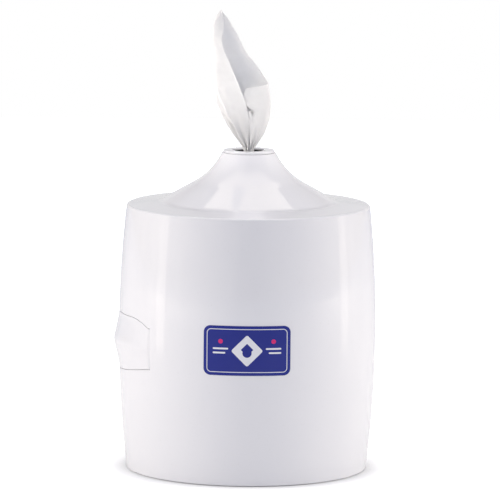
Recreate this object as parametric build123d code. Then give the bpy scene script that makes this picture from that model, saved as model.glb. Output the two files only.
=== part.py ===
from build123d import *
from math import acos, asin, cos, degrees, hypot, radians, sin, sqrt, tan
import os

# A wall-hung dispenser for a centre-pull roll of wipes. The origin is on the drum's axis at
# the foot plane, +Z is up, the front faces -Y and the wall is on the +Y side.
# Every length is in millimetres and every angle in degrees.

# Drum, shoulder and funnel
FOOT_R = 127.5
BULGE = 8.7
BULGE_Z = 145.5
SHOULDER_Z = 280.5
SHOULDER_SLOPE = 5.5
RIM_EDGE = 2.5
FOOT_EDGE = 1.2
CONE_SLOPE = 29.5
FUNNEL_FOOT_EDGE = 14.0
FLARE_R = 73.0
NECK_R = 28.4
NECK_SLOPE = 64.4
FUNNEL_TOP_Z = 335.8
WALL = 3.0
FLOOR = 3.0

# Parting of the two shells, and the clearances between bodies
PART_Y = 10.0
PART_GAP = 0.5
COVER_LIFT = 0.5
CLEAR = 0.3
FIT = 0.05
SWING_CLEAR = 0.5
LIP = 1.8
LIP_GAP = 1.0
LIP_REACH = 5.0

# Wall pad and its screw holes
PAD_WIDTH = 150.0
PAD_LOW_Z = 30.0
PAD_HIGH_Z = 250.0
PAD_PROUD = 4.2
PAD_CORNER = 12.0
SCREW_SPACING_X = 100.0
SCREW_SPACING_Z = 150.0
WALL_HOLE_R = 2.75
WALL_BOSS_R = 7.0
WALL_BOSS_DEPTH = 6.0

# Cover hinge, on the right, just behind the parting
HINGE_INSET = 2.7
HINGE_BACK = 5.5
KNUCKLE_R = 2.6
KNUCKLE_LENGTH = 14.0
KNUCKLE_COUNT = 5
HINGE_PIN_R = 1.2
NOTCH_BACK = 4.0

# Nozzle ring, elastomer disc with its sleeve, and their shelf
RING_R = 26.8
RING_THICK = 2.4
RING_LIP = 0.7
RING_LIP_DEPTH = 1.6
MOUTH_R = 16.7
THROAT_R = 21.5
RING_BODY_R = 27.0
RING_BODY_TOP_Z = 322.0
SHELF_TOP_Z = 313.0
SHELF_THICK = 3.5
SHELF_R = 34.0
SHELF_BORE_R = 19.0
RING_FLANGE = 3.0
RING_SCREW_PCD_R = 28.5
RING_BOSS_R = 3.5
RING_BOSS_HEIGHT = 5.0
SCREW_R = 1.45
SCREW_HEAD_R = 2.8
SCREW_HEAD = 2.0
BRACKET_SEAT = 7.0
LEDGE_THICK = 5.0
LEDGE_SCREW_ANGLES = (50, 130)
DISC_R = 22.6
DISC_THICK = 2.0
SLEEVE_BACK = 0.2
SLEEVE_WALL = 1.2
RETAINER_BORE_R = 15.0
RETAINER_THICK = 3.0
SLIT_COUNT = 6
SLIT_WIDTH = 0.8
SLIT_REACH = 12.0

# Latch lever on the left, its pocket, pin, spring and keeper
PIVOT_ANGLE = 49.5
LEVER_END_ANGLE = 98.5
POCKET_END_ANGLE = 100.5
LATCH_PIN_R = 1.2
PIVOT_DEPTH = 4.6
LEVER_EDGE = 1.2
LEVER_RISE = 5.3
LEVER_RIDGE_Z = 137.0
LEVER_REAR_TOP = 30.3
LEVER_REAR_LOW = 30.0
LEVER_FRONT_TOP = 22.0
LEVER_FRONT_LOW = 20.5
LEVER_SIDE_GAP = 0.6
LEVER_PRESS = 1.9
POCKET_WALL = 2.0
PIN_SOCKET = 5.0
SPRING_R = 2.4
SPRING_WIRE_R = 0.4
SPRING_PITCH = 1.3
SPRING_HALF_TURNS = 9
TANG_BEND = 1.0
TANG_LENGTH = 2.5
SPRING_BAY = 9.5
KEEPER_LOW = 2.3
KEEPER_BACK = 2.6
KEEPER_THICK = 2.2
KEEPER_WIDTH = 12.0
KEEPER_PLATE = 1.2
KEEPER_PLATE_HEIGHT = 32.0
KEEPER_PLATE_LENGTH = 10.0
KEEPER_SEAT = 4.0
KEEPER_SCREW_SPACING = 24.0
KEEPER_SCREW_LENGTH = 5.5
KEEPER_SCREW_R = 1.2
LIP_CLEAR = 0.4

# Refill: tray, film bag, roll and the strand drawn from its core
TRAY_GAP = 3.5
TRAY_WALL = 2.0
TRAY_HEIGHT = 12.0
BAG_GAP = 0.6
BAG_FILM = 0.6
BAG_MOUTH_R = 34.0
BAG_CONE = 26.0
ROLL_GAP = 0.1
ROLL_HEIGHT = 203.0
CORE_R = 22.0
ROLL_EDGE = 3.0
STRAND_R = 5.2
STRAND_DEPTH = 60.0
STRAND_CLIMB = 50.0
STRAND_BEND_R = 40.0

# Label on the front
LABEL_WIDTH = 90.0
LABEL_HEIGHT = 52.0
LABEL_Z = 144.0
LABEL_THICK = 0.3
LABEL_CORNER = 7.0

# The wipe that stands out of the nozzle
WIPE_STAND = 148.0
WIPE_THICK = 1.3

# Values worked out from the ones above
BULGE_R = FOOT_R + BULGE
ARC_R = (BULGE ** 2 + BULGE_Z ** 2) / (2 * BULGE)
HINGE_X = BULGE_R - HINGE_INSET
HINGE_Y = PART_Y + HINGE_BACK
MITRE_X = HINGE_X + 0.5
HINGE_LOW_Z = BULGE_Z - KNUCKLE_COUNT * KNUCKLE_LENGTH / 2
WALL_FACE_Y = BULGE_R + PAD_PROUD
WALL_CENTRE_Z = (PAD_LOW_Z + PAD_HIGH_Z) / 2
PIVOT_R = BULGE_R - PIVOT_DEPTH
LEVER_BARREL_R = PIVOT_DEPTH
NOZZLE_Z = FUNNEL_TOP_Z + CLEAR + RING_THICK
DISC_LOW_Z = SHELF_TOP_Z + RETAINER_THICK
DISC_TOP_Z = DISC_LOW_Z + DISC_THICK
SLEEVE_BORE_R = MOUTH_R + SLEEVE_BACK
SLEEVE_R = SLEEVE_BORE_R + SLEEVE_WALL
SLEEVE_TOP_Z = NOZZLE_Z - RING_LIP_DEPTH - CLEAR
KEEPER_START_Y = PART_Y + KEEPER_BACK
TRAY_R = FOOT_R - WALL - TRAY_GAP
TRAY_Z = FLOOR
BAG_R = TRAY_R - TRAY_WALL - BAG_GAP
BAG_Z = TRAY_Z + TRAY_WALL
ROLL_R = BAG_R - BAG_FILM - BAG_GAP
ROLL_Z = BAG_Z + BAG_FILM + ROLL_GAP
ROLL_TOP_Z = ROLL_Z + ROLL_HEIGHT
HUGE = 4 * BULGE_R

# The standing wipe, level by level, in hundredths of its height above the nozzle: the level,
# its left edge, right edge, depth of the rear wall and depth of the front flap. The last number
# is the share of the width that the flap reaches across.
WIPE_LEVELS = [
    (0.0, -3.8, 3.5, 3.4, 3.4, 0.82),
    (5.1, -6.9, 6.8, 5.1, 5.1, 0.88),
    (13.5, -13.4, 11.7, 8.1, 8.1, 0.93),
    (22.3, -18.4, 14.5, 10.8, 10.1, 0.95),
    (28.4, -21.5, 15.1, 12.2, 10.5, 0.72),
    (35.1, -23.6, 15.1, 12.5, 10.1, 0.53),
    (43.9, -24.4, 14.3, 12.2, 9.1, 0.45),
    (56.8, -25.9, 8.4, 10.1, 7.8, 0.40),
    (69.6, -26.1, -1.0, 7.8, 6.1, 0.36),
    (82.4, -27.0, -8.3, 5.7, 4.4, 0.34),
    (91.9, -27.0, -14.1, 4.1, 3.0, 0.55),
    (96.3, -24.9, -17.8, 2.7, 2.2, 0.62),
    (100.0, -22.6, -19.9, 1.4, 1.3, 0.55),
]


def barrel_radius(z, inset=0.0):
    """Radius of the drum at a height, on an arc that is widest at BULGE_Z."""
    return BULGE_R - ARC_R + sqrt((ARC_R - inset) ** 2 - (z - BULGE_Z) ** 2)


def rim_point(inset):
    """Where the drum's wall meets the shoulder, for a surface inset from the outside."""
    slope = radians(SHOULDER_SLOPE)
    z = SHOULDER_Z - inset / cos(slope) + inset * tan(slope)
    return barrel_radius(z, inset), z


def flare_point(angle, inset):
    """Point of the funnel's concave arc where its slope is the given angle."""
    centre_r = NECK_R + FLARE_R * sin(radians(NECK_SLOPE))
    centre_z = FUNNEL_TOP_Z + FLARE_R * cos(radians(NECK_SLOPE))
    reach = FLARE_R + inset
    return centre_r - reach * sin(radians(angle)), centre_z - reach * cos(radians(angle))


def flare_angle(z, inset):
    """Slope of the funnel's concave arc at a height."""
    centre_z = FUNNEL_TOP_Z + FLARE_R * cos(radians(NECK_SLOPE))
    return degrees(acos((centre_z - z) / (FLARE_R + inset)))


def funnel_foot(inset):
    """Where the funnel's straight cone meets the shoulder."""
    rim_r, rim_z = rim_point(inset)
    cone_r, cone_z = flare_point(CONE_SLOPE, inset)
    shoulder = tan(radians(SHOULDER_SLOPE))
    cone = tan(radians(CONE_SLOPE))
    r = (cone_z + cone_r * cone - rim_z - rim_r * shoulder) / (cone - shoulder)
    return r, rim_z + (rim_r - r) * shoulder


def body_of_revolution(inset, low_z, top_z, rounded=False):
    """Solid inside the drum, shoulder and funnel, inset from the outer surface."""
    rim = rim_point(inset)
    foot = funnel_foot(inset)
    cone = flare_point(CONE_SLOPE, inset)
    top_angle = flare_angle(top_z, inset)
    flare_mid = flare_point((CONE_SLOPE + top_angle) / 2, inset)
    neck = flare_point(top_angle, inset)
    base = (barrel_radius(low_z, inset), low_z)
    middle_z = (low_z + rim[1]) / 2
    edges = [
        Line((0, low_z), base),
        ThreePointArc(base, (barrel_radius(middle_z, inset), middle_z), rim),
        Line(rim, foot),
        Line(foot, cone),
        ThreePointArc(cone, flare_mid, neck),
        Line(neck, (0, top_z)),
        Line((0, top_z), (0, low_z)),
    ]
    profile = make_face(edges)
    if rounded:
        for corner, radius in [(base, FOOT_EDGE), (rim, RIM_EDGE), (foot, FUNNEL_FOOT_EDGE)]:
            vertex = profile.vertices().sort_by_distance((corner[0], corner[1], 0))[0]
            profile = fillet(vertex, radius)
    return revolve(Plane.XZ * profile, Axis.Z)


def outer_form():
    return body_of_revolution(0, 0, FUNNEL_TOP_Z, rounded=True)


def inner_form(low_z):
    return body_of_revolution(WALL, low_z, FUNNEL_TOP_Z + 1)


def plan_prism(points, low_z=-HUGE, high_z=HUGE):
    """Upright prism over a polygon drawn in plan."""
    face = make_face(Polyline(*points, close=True))
    return Pos(0, 0, low_z) * extrude(face, high_z - low_z)


def front_region():
    """Everything in front of the parting, with its mitre by the hinge."""
    y = PART_Y - PART_GAP / 2
    far = HUGE - MITRE_X
    points = [(-HUGE, -HUGE), (HUGE, -HUGE), (HUGE, y + far), (MITRE_X, y), (-HUGE, y)]
    return plan_prism(points)


def rear_region():
    """Everything behind the parting."""
    y = PART_Y + PART_GAP / 2
    far = HUGE - MITRE_X
    points = [(-HUGE, y), (MITRE_X, y), (HUGE, y + far), (HUGE, 2 * HUGE), (-HUGE, 2 * HUGE)]
    return plan_prism(points)


def outward(angle):
    """Unit vector away from the axis, at an angle to the left of the front."""
    return Vector(-sin(radians(angle)), -cos(radians(angle)), 0)


def rearward(angle):
    """Unit vector along the drum towards the wall, at an angle to the left of the front."""
    return Vector(-cos(radians(angle)), sin(radians(angle)), 0)


def section_plane(angle):
    """Upright plane through the axis: its x is the radius and its y the height."""
    return Plane(origin=(0, 0, 0), x_dir=outward(angle), z_dir=rearward(angle))


def ring_sector(inner_r, outer_r, low_z, high_z, start, end):
    """Upright slice of a tube between two angles to the left of the front."""
    first = -90 - end
    turn = end - start
    outer_arc = CenterArc((0, 0), outer_r, first, turn)
    inner_arc = CenterArc((0, 0), inner_r, first, turn)
    sides = [Line(outer_arc @ 0, inner_arc @ 0), Line(outer_arc @ 1, inner_arc @ 1)]
    face = make_face([outer_arc, inner_arc] + sides)
    return Pos(0, 0, low_z) * extrude(face, high_z - low_z)


def box_between(low, high):
    """Box from its lowest corner to its highest."""
    size = [high[i] - low[i] for i in range(3)]
    centre = [(high[i] + low[i]) / 2 for i in range(3)]
    return Pos(*centre) * Box(*size)


def rod(x, y, low_z, high_z, radius):
    """Upright cylinder."""
    return Pos(x, y, (low_z + high_z) / 2) * Cylinder(radius, high_z - low_z)


def swing_limit(radius):
    """Radius that the far edge of the opening cover keeps clear of."""
    edge_x = sqrt(radius ** 2 - (PART_Y - PART_GAP / 2) ** 2)
    sweep = hypot(HINGE_X + edge_x, HINGE_BACK + PART_GAP / 2)
    return sweep - hypot(HINGE_X, HINGE_Y) - SWING_CLEAR


# Latch pocket and lever, drawn as upright sections around the drum


def lever_share(angle):
    """How far along the lever an angle is, from 0 at its pivot to 1 at its rear end."""
    return (angle - PIVOT_ANGLE) / (LEVER_END_ANGLE - PIVOT_ANGLE)


def lever_low_z(angle):
    """Lower edge of the lever, which rises towards the front."""
    drop = LEVER_REAR_LOW - LEVER_FRONT_LOW
    share = min(1.0, lever_share(angle) / 0.85)
    return LEVER_RIDGE_Z - LEVER_FRONT_LOW - drop * sin(radians(90 * share))


def lever_top_z(angle):
    """Upper edge of the lever, level at the rear and turned down at the front corner."""
    climb = LEVER_REAR_TOP - LEVER_FRONT_TOP
    share = min(1.0, lever_share(angle) / 0.25)
    return LEVER_RIDGE_Z + LEVER_FRONT_TOP + climb * sin(radians(90 * share))


def lever_height(angle):
    """How far the ridge stands off the drum."""
    share = min(1.0, lever_share(angle) / 0.8)
    return 0.2 + (LEVER_RISE - 0.2) * sin(radians(90 * share))


def lever_under_r():
    """Radius of the lever's underside."""
    return barrel_radius(LEVER_RIDGE_Z - LEVER_REAR_LOW) - LEVER_EDGE


def pocket_floor_r():
    """Radius of the pocket's floor, with room for the lever to be pressed home."""
    return lever_under_r() - LEVER_PRESS


LEVER_STATIONS = [0.0, 0.06, 0.13, 0.25, 0.45, 0.65, 0.85, 1.0]


def station_angle(share, end_angle):
    return PIVOT_ANGLE + share * (end_angle - PIVOT_ANGLE)


def lever_section(angle):
    """Section of the lever: flat underside, thin edges and a ridge between two flanks."""
    low_z = lever_low_z(angle)
    top_z = lever_top_z(angle)
    under = lever_under_r()
    height = lever_height(angle)
    roof = []
    for reach, rise in [(0.0, 0.0), (0.5, 0.44), (0.82, 0.83), (1.0, 1.0)]:
        z = low_z + reach * (LEVER_RIDGE_Z - low_z)
        roof.append((barrel_radius(z) + rise * height, z))
    for reach, rise in [(0.18, 0.83), (0.5, 0.44), (1.0, 0.0)]:
        z = LEVER_RIDGE_Z + reach * (top_z - LEVER_RIDGE_Z)
        roof.append((barrel_radius(z) + rise * height, z))
    edges = [
        Spline(*roof),
        Line(roof[-1], (under, top_z)),
        Line((under, top_z), (under, low_z)),
        Line((under, low_z), roof[0]),
    ]
    return section_plane(angle) * make_face(edges)


def pocket_section(angle):
    """Section of the pocket that the lever lies in, open to the outside."""
    low_z = lever_low_z(angle) - LEVER_SIDE_GAP
    top_z = lever_top_z(angle) + LEVER_SIDE_GAP
    inner = pocket_floor_r()
    outer = BULGE_R + 2 * LEVER_RISE
    corners = [(inner, low_z), (outer, low_z), (outer, top_z), (inner, top_z)]
    return section_plane(angle) * make_face(Polyline(*corners, close=True))


def latch_pocket():
    """Tool that cuts the lever's pocket in both shells."""
    sections = [pocket_section(station_angle(s, POCKET_END_ANGLE)) for s in LEVER_STATIONS]
    return loft(sections)


def pivot_point():
    return PIVOT_R * outward(PIVOT_ANGLE)


def pivot_rod(low_z, high_z, radius):
    """Upright cylinder on the lever's pivot."""
    centre = pivot_point()
    return rod(centre.X, centre.Y, low_z, high_z, radius)


def pivot_frame(z=0.0):
    """Frame at the pivot: x towards the wall along the drum, y outwards, z up."""
    centre = pivot_point()
    plane = Plane(origin=(centre.X, centre.Y, z), x_dir=rearward(PIVOT_ANGLE), z_dir=(0, 0, 1))
    return plane.location


def pivot_low_z():
    return lever_low_z(PIVOT_ANGLE)


def pivot_top_z():
    return lever_top_z(PIVOT_ANGLE)


def keeper_top_x():
    return BULGE_R - KEEPER_LOW


# Sub-parts


def knuckle_span(index):
    low = HINGE_LOW_Z + index * KNUCKLE_LENGTH
    return low, low + KNUCKLE_LENGTH


def is_cover_knuckle(index):
    return index % 2 == 1


def make_rear_housing():
    """Rear shell with the floor, wall pad, bracket ledge, guide lips, keeper seat and knuckles."""
    pad_height = PAD_HIGH_Z - PAD_LOW_Z
    pad_face = RectangleRounded(PAD_WIDTH, pad_height, PAD_CORNER)
    pad_plane = Plane(origin=(0, WALL_FACE_Y, WALL_CENTRE_Z), x_dir=(1, 0, 0), z_dir=(0, -1, 0))
    pad_depth = WALL_FACE_Y - PART_Y - PAD_WIDTH / 3
    pad = extrude(pad_plane * pad_face, pad_depth)
    hollow_face = RectangleRounded(PAD_WIDTH - 2 * WALL, pad_height - 2 * WALL, PAD_CORNER - WALL)
    hollow = extrude(pad_plane.offset(WALL) * hollow_face, pad_depth)
    body = (outer_form() + pad) - inner_form(FLOOR) - hollow
    body = body & rear_region()
    body += rod(0, 0, 0, FLOOR, swing_limit(barrel_radius(0, WALL)))
    body = body - rear_boss_holes() + rear_bosses()
    body += guide_lips()
    body += bracket_ledge()
    body += latch_backing(POCKET_END_ANGLE + 2.5, KEEPER_SEAT, rear_region())
    body -= latch_pocket()
    body -= keeper_recess()
    for index in range(KNUCKLE_COUNT):
        low, high = knuckle_span(index)
        if is_cover_knuckle(index):
            body -= box_between(
                (HINGE_X - WALL - KNUCKLE_R, 0, low - CLEAR),
                (HUGE, HINGE_Y + NOTCH_BACK, high + CLEAR),
            )
        else:
            body += rod(HINGE_X, HINGE_Y, low, high, KNUCKLE_R)
    low = HINGE_LOW_Z + KNUCKLE_LENGTH * KNUCKLE_COUNT
    body -= rod(HINGE_X, HINGE_Y, low, low + 2 * KNUCKLE_R, KNUCKLE_R)
    body -= rod(HINGE_X, HINGE_Y, HINGE_LOW_Z + HINGE_PIN_R, low + 1, HINGE_PIN_R + FIT)
    return body


def wall_hole_places():
    for x in (-SCREW_SPACING_X / 2, SCREW_SPACING_X / 2):
        for z in (-SCREW_SPACING_Z / 2, SCREW_SPACING_Z / 2):
            yield x, WALL_CENTRE_Z + z


def rear_boss_holes():
    """Clearance holes for the four wall screws."""
    tools = Part()
    for x, z in wall_hole_places():
        tools += Pos(x, WALL_FACE_Y, z) * Rot(90, 0, 0) * Cylinder(WALL_HOLE_R, 6 * WALL)
    return tools


def rear_bosses():
    """Round bosses inside the back wall, each around a screw hole."""
    length = WALL_BOSS_DEPTH
    bosses = Part()
    for x, z in wall_hole_places():
        place = Pos(x, WALL_FACE_Y - WALL - length / 2 + 0.01, z) * Rot(90, 0, 0)
        bosses += place * (Cylinder(WALL_BOSS_R, length) - Cylinder(WALL_HOLE_R, 2 * length))
    return bosses


def guide_lips():
    """Two lips on the left that guide the closing cover, above and below the latch."""
    seat = body_of_revolution(WALL - 0.5, -5, FUNNEL_TOP_Z)
    outer = body_of_revolution(WALL + LIP_GAP, -5, FUNNEL_TOP_Z)
    inner = body_of_revolution(WALL + LIP_GAP + LIP, -6, FUNNEL_TOP_Z + 1)
    y = PART_Y + PART_GAP / 2
    lips = Part()
    latch_low = LEVER_RIDGE_Z - LEVER_REAR_LOW - 4 * WALL
    latch_top = LEVER_RIDGE_Z + LEVER_REAR_TOP + 4 * WALL
    rim_z = rim_point(WALL)[1]
    for low, high in [(TRAY_HEIGHT + 4 * FLOOR, latch_low), (latch_top, rim_z - 4 * WALL)]:
        tongue = box_between((-HUGE, y - LIP_REACH, low), (0, y + WALL, high))
        root = box_between((-HUGE, y, low), (0, y + WALL, high))
        lips += (outer - inner) & tongue
        lips += (seat - inner) & root
    return lips


def bracket_r():
    """Radius of the nozzle bracket where it lies in the rear half of the funnel."""
    return flare_point(flare_angle(SHELF_TOP_Z, WALL), WALL)[0] - CLEAR


def bracket_ledge():
    """Crescent ledge in the rear half of the funnel that the nozzle bracket is screwed to."""
    high = SHELF_TOP_Z - SHELF_THICK
    low = high - LEDGE_THICK
    ledge = rod(0, 0, low, high, SHELF_R + 8 * WALL)
    ledge -= rod(0, 0, low - 1, high + 1, bracket_r() - BRACKET_SEAT)
    ledge = ledge & body_of_revolution(WALL / 2, low - 1, FUNNEL_TOP_Z) & rear_region()
    for x, y in ledge_screw_places():
        ledge -= rod(x, y, low - 1, high + 1, SCREW_R + FIT)
    return ledge


def ledge_screw_places():
    reach = bracket_r() - BRACKET_SEAT / 2
    for angle in LEDGE_SCREW_ANGLES:
        yield reach * cos(radians(angle)), reach * sin(radians(angle))


def make_nozzle_bracket():
    """Plate on the ledge that reaches forward and carries the nozzle ring."""
    low = SHELF_TOP_Z - SHELF_THICK
    web = rod(0, 0, low, SHELF_TOP_Z, bracket_r()) & rear_region()
    plate = rod(0, 0, low, SHELF_TOP_Z, SHELF_R) + web
    plate -= rod(0, 0, low - 1, SHELF_TOP_Z + 1, SHELF_BORE_R)
    for x, y in list(ring_screw_places()) + list(ledge_screw_places()):
        plate -= rod(x, y, low - 1, SHELF_TOP_Z + 1, SCREW_R + FIT)
    return plate


def ring_screw_places():
    for angle in (90, 210, 330):
        yield (
            RING_SCREW_PCD_R * cos(radians(angle)),
            RING_SCREW_PCD_R * sin(radians(angle)),
        )


def latch_backing(end_angle, extra, region):
    """Thicker wall behind the lever's pocket, kept to one side of the parting."""
    low = LEVER_RIDGE_Z - LEVER_REAR_LOW - 2 * WALL
    high = LEVER_RIDGE_Z + LEVER_REAR_TOP + 2 * WALL
    inner = pocket_floor_r() - POCKET_WALL - extra
    outer = barrel_radius(LEVER_RIDGE_Z) - WALL / 2
    backing = ring_sector(inner, outer, low, high, PIVOT_ANGLE, end_angle)
    return backing & region


def keeper_plate_x():
    """Outer face of the keeper's plate, level with the pocket's floor at its rear edge."""
    rear = KEEPER_START_Y + KEEPER_PLATE_LENGTH
    return sqrt(pocket_floor_r() ** 2 - rear ** 2)


def keeper_screw_places():
    y = KEEPER_START_Y + KEEPER_THICK + (KEEPER_PLATE_LENGTH - KEEPER_THICK) / 2
    for side in (-1, 1):
        yield y, LEVER_RIDGE_Z + side * KEEPER_SCREW_SPACING / 2


def keeper_recess():
    """Flat seat for the keeper's plate, with its two screw holes."""
    half = KEEPER_PLATE_HEIGHT / 2 + CLEAR
    face_x = keeper_plate_x()
    recess = box_between(
        (-BULGE_R, KEEPER_START_Y - CLEAR, LEVER_RIDGE_Z - half),
        (KEEPER_PLATE - face_x, KEEPER_START_Y + KEEPER_PLATE_LENGTH, LEVER_RIDGE_Z + half),
    )
    for y, z in keeper_screw_places():
        hole = Cylinder(KEEPER_SCREW_R + FIT, 2 * KEEPER_SCREW_LENGTH + 2)
        recess += Pos(-face_x, y, z) * Rot(0, 90, 0) * hole
    return recess


def make_keeper_plate():
    """Steel keeper: a plate on the pocket's floor with a ridge that the lever hooks behind."""
    face_x = keeper_plate_x()
    half = KEEPER_PLATE_HEIGHT / 2
    ridge = KEEPER_WIDTH / 2
    rear = KEEPER_START_Y + KEEPER_PLATE_LENGTH - CLEAR
    plate = box_between(
        (-face_x, KEEPER_START_Y, LEVER_RIDGE_Z - half),
        (KEEPER_PLATE - face_x, rear, LEVER_RIDGE_Z + half),
    )
    plate += box_between(
        (-keeper_top_x(), KEEPER_START_Y, LEVER_RIDGE_Z - ridge),
        (-face_x, KEEPER_START_Y + KEEPER_THICK, LEVER_RIDGE_Z + ridge),
    )
    for y, z in keeper_screw_places():
        sink = Pos(-face_x, y, z) * Rot(0, 90, 0)
        wide = KEEPER_SCREW_R + KEEPER_PLATE + FIT
        cone = Cone(wide, KEEPER_SCREW_R + FIT, KEEPER_PLATE)
        plate -= sink * Pos(0, 0, KEEPER_PLATE / 2) * cone
        plate -= sink * Cylinder(KEEPER_SCREW_R + FIT, 3 * KEEPER_PLATE)
    return plate


def make_keeper_screws():
    """Two countersunk screws, driven inwards through the keeper's plate."""
    face_x = keeper_plate_x()
    screws = Part()
    for y, z in keeper_screw_places():
        place = Pos(-face_x, y, z) * Rot(0, 90, 0)
        head = Cone(KEEPER_SCREW_R + KEEPER_PLATE, KEEPER_SCREW_R, KEEPER_PLATE)
        shank = Cylinder(KEEPER_SCREW_R, KEEPER_SCREW_LENGTH)
        screw = Pos(0, 0, KEEPER_PLATE / 2) * head + Pos(0, 0, KEEPER_SCREW_LENGTH / 2) * shank
        cross = Box(0.5, 2 * KEEPER_SCREW_R, KEEPER_PLATE) + Box(
            2 * KEEPER_SCREW_R, 0.5, KEEPER_PLATE
        )
        screws += place * (screw - cross)
    return screws


def make_front_cover():
    """Front shell with its knuckles and the lever's pocket."""
    body = (outer_form() - inner_form(-1)) & front_region()
    body -= box_between((-HUGE, -HUGE, -HUGE), (HUGE, HUGE, COVER_LIFT))
    body += latch_backing(LEVER_END_ANGLE, 0, front_region())
    body += pivot_backing()
    body -= latch_pocket()
    trough = LEVER_BARREL_R + PART_GAP
    body -= pivot_rod(pivot_low_z() - LEVER_SIDE_GAP, pivot_top_z() + LEVER_SIDE_GAP, trough)
    low = pivot_low_z() - LEVER_SIDE_GAP - PIN_SOCKET
    high = pivot_top_z() + LEVER_SIDE_GAP + PIN_SOCKET
    body -= pivot_rod(low, high, LATCH_PIN_R + FIT)
    tang = Pos(TANG_BEND, -SPRING_R, 0) * Cylinder(SPRING_WIRE_R + 0.15, 2 * TANG_LENGTH + 1)
    body -= pivot_frame(pivot_low_z() - LEVER_SIDE_GAP) * tang
    arm = KNUCKLE_R - 0.6
    for index in range(KNUCKLE_COUNT):
        if is_cover_knuckle(index):
            low, high = knuckle_span(index)
            knuckle = rod(HINGE_X, HINGE_Y, low + CLEAR / 2, high - CLEAR / 2, KNUCKLE_R)
            knuckle += box_between(
                (HINGE_X - arm, PART_Y - WALL, low + CLEAR / 2),
                (HINGE_X + arm, HINGE_Y, high - CLEAR / 2),
            )
            knuckle -= rod(HINGE_X, HINGE_Y, low, high, HINGE_PIN_R + FIT)
            body += knuckle
    return body


def pivot_backing():
    """Deeper block behind the lever's pivot."""
    low = LEVER_RIDGE_Z - LEVER_REAR_LOW - 2 * WALL
    high = LEVER_RIDGE_Z + LEVER_REAR_TOP + 2 * WALL
    depth = LEVER_BARREL_R + PART_GAP + POCKET_WALL
    half_angle = degrees(depth / PIVOT_R)
    outer = barrel_radius(LEVER_RIDGE_Z) - WALL / 2
    first = PIVOT_ANGLE - half_angle
    last = PIVOT_ANGLE + half_angle
    return ring_sector(PIVOT_R - depth, outer, low, high, first, last)


def make_hinge_pin():
    """Steel pin with a small head above the top knuckle."""
    top = HINGE_LOW_Z + KNUCKLE_COUNT * KNUCKLE_LENGTH
    pin = rod(HINGE_X, HINGE_Y, HINGE_LOW_Z + HINGE_PIN_R + FIT, top, HINGE_PIN_R)
    return pin + rod(HINGE_X, HINGE_Y, top, top + 1, HINGE_PIN_R + 0.8)


def make_front_label():
    """Thin label that follows the front of the drum."""
    seat = body_of_revolution(-0.05, 0, FUNNEL_TOP_Z)
    skin = body_of_revolution(-0.05 - LABEL_THICK, 0, FUNNEL_TOP_Z)
    face = RectangleRounded(LABEL_WIDTH, LABEL_HEIGHT, LABEL_CORNER)
    prism = extrude(Plane(origin=(0, 0, LABEL_Z), x_dir=(1, 0, 0), z_dir=(0, -1, 0)) * face, HUGE)
    return (skin - seat) & prism


def make_latch_lever():
    """Curved lever with a barrel at its pivot, bored below for the spring, and a hook behind."""
    sections = [lever_section(station_angle(s, LEVER_END_ANGLE)) for s in LEVER_STATIONS]
    body = loft(sections)
    low = pivot_low_z()
    high = pivot_top_z()
    body += pivot_rod(low, high, LEVER_BARREL_R)
    body -= pivot_rod(low - 1, low + SPRING_BAY, SPRING_R + SPRING_WIRE_R + 0.3)
    body -= pivot_rod(low - 1, high + 1, LATCH_PIN_R + FIT)
    tang = Pos(TANG_BEND, SPRING_R, 0) * Cylinder(SPRING_WIRE_R + 0.15, 2 * TANG_LENGTH + 1)
    body -= pivot_frame(low + SPRING_BAY) * tang
    half = KEEPER_WIDTH / 2 + 3 * CLEAR
    hook_y = KEEPER_START_Y + KEEPER_THICK + CLEAR
    relief_x = keeper_top_x() + LEVER_PRESS
    body -= box_between(
        (-relief_x, PART_Y, LEVER_RIDGE_Z - half),
        (0, hook_y, LEVER_RIDGE_Z + half),
    )
    body -= box_between(
        (-keeper_top_x() - LIP_CLEAR, hook_y - 1, LEVER_RIDGE_Z - half),
        (0, BULGE_R, LEVER_RIDGE_Z + half),
    )
    return body


def make_latch_pin():
    low = pivot_low_z() - LEVER_SIDE_GAP - PIN_SOCKET + 0.1
    high = pivot_top_z() + LEVER_SIDE_GAP + PIN_SOCKET - 0.1
    return pivot_rod(low, high, LATCH_PIN_R)


def make_latch_spring():
    """Torsion spring on the latch pin: half turns that climb, with an upright tang at each end."""
    half_rise = SPRING_PITCH / 2
    coil = SPRING_HALF_TURNS * half_rise
    z = (SPRING_BAY - LEVER_SIDE_GAP - coil) / 2
    bend = TANG_BEND
    side = -1
    foot = (bend, -SPRING_R, -LEVER_SIDE_GAP - TANG_LENGTH)
    knee = (bend, -SPRING_R, z - bend)
    corner = (bend * sin(radians(45)), -SPRING_R, z - bend + bend * cos(radians(45)))
    path = [Line(foot, knee), ThreePointArc(knee, corner, (0, -SPRING_R, z))]
    for turn in range(SPRING_HALF_TURNS):
        middle = (side * SPRING_R, 0, z + half_rise / 2)
        end = (0, -side * SPRING_R, z + half_rise)
        path.append(ThreePointArc((0, side * SPRING_R, z), middle, end))
        z += half_rise
        side = -side
    knee = (bend, SPRING_R, z + bend)
    corner = (bend * sin(radians(45)), SPRING_R, z + bend - bend * cos(radians(45)))
    path.append(ThreePointArc((0, SPRING_R, z), corner, knee))
    path.append(Line(knee, (bend, SPRING_R, SPRING_BAY + TANG_LENGTH)))
    wire = Wire(path)
    start = Plane(origin=wire @ 0, z_dir=wire % 0)
    return pivot_frame(pivot_low_z()) * sweep(start * Circle(SPRING_WIRE_R), path=wire)


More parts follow.
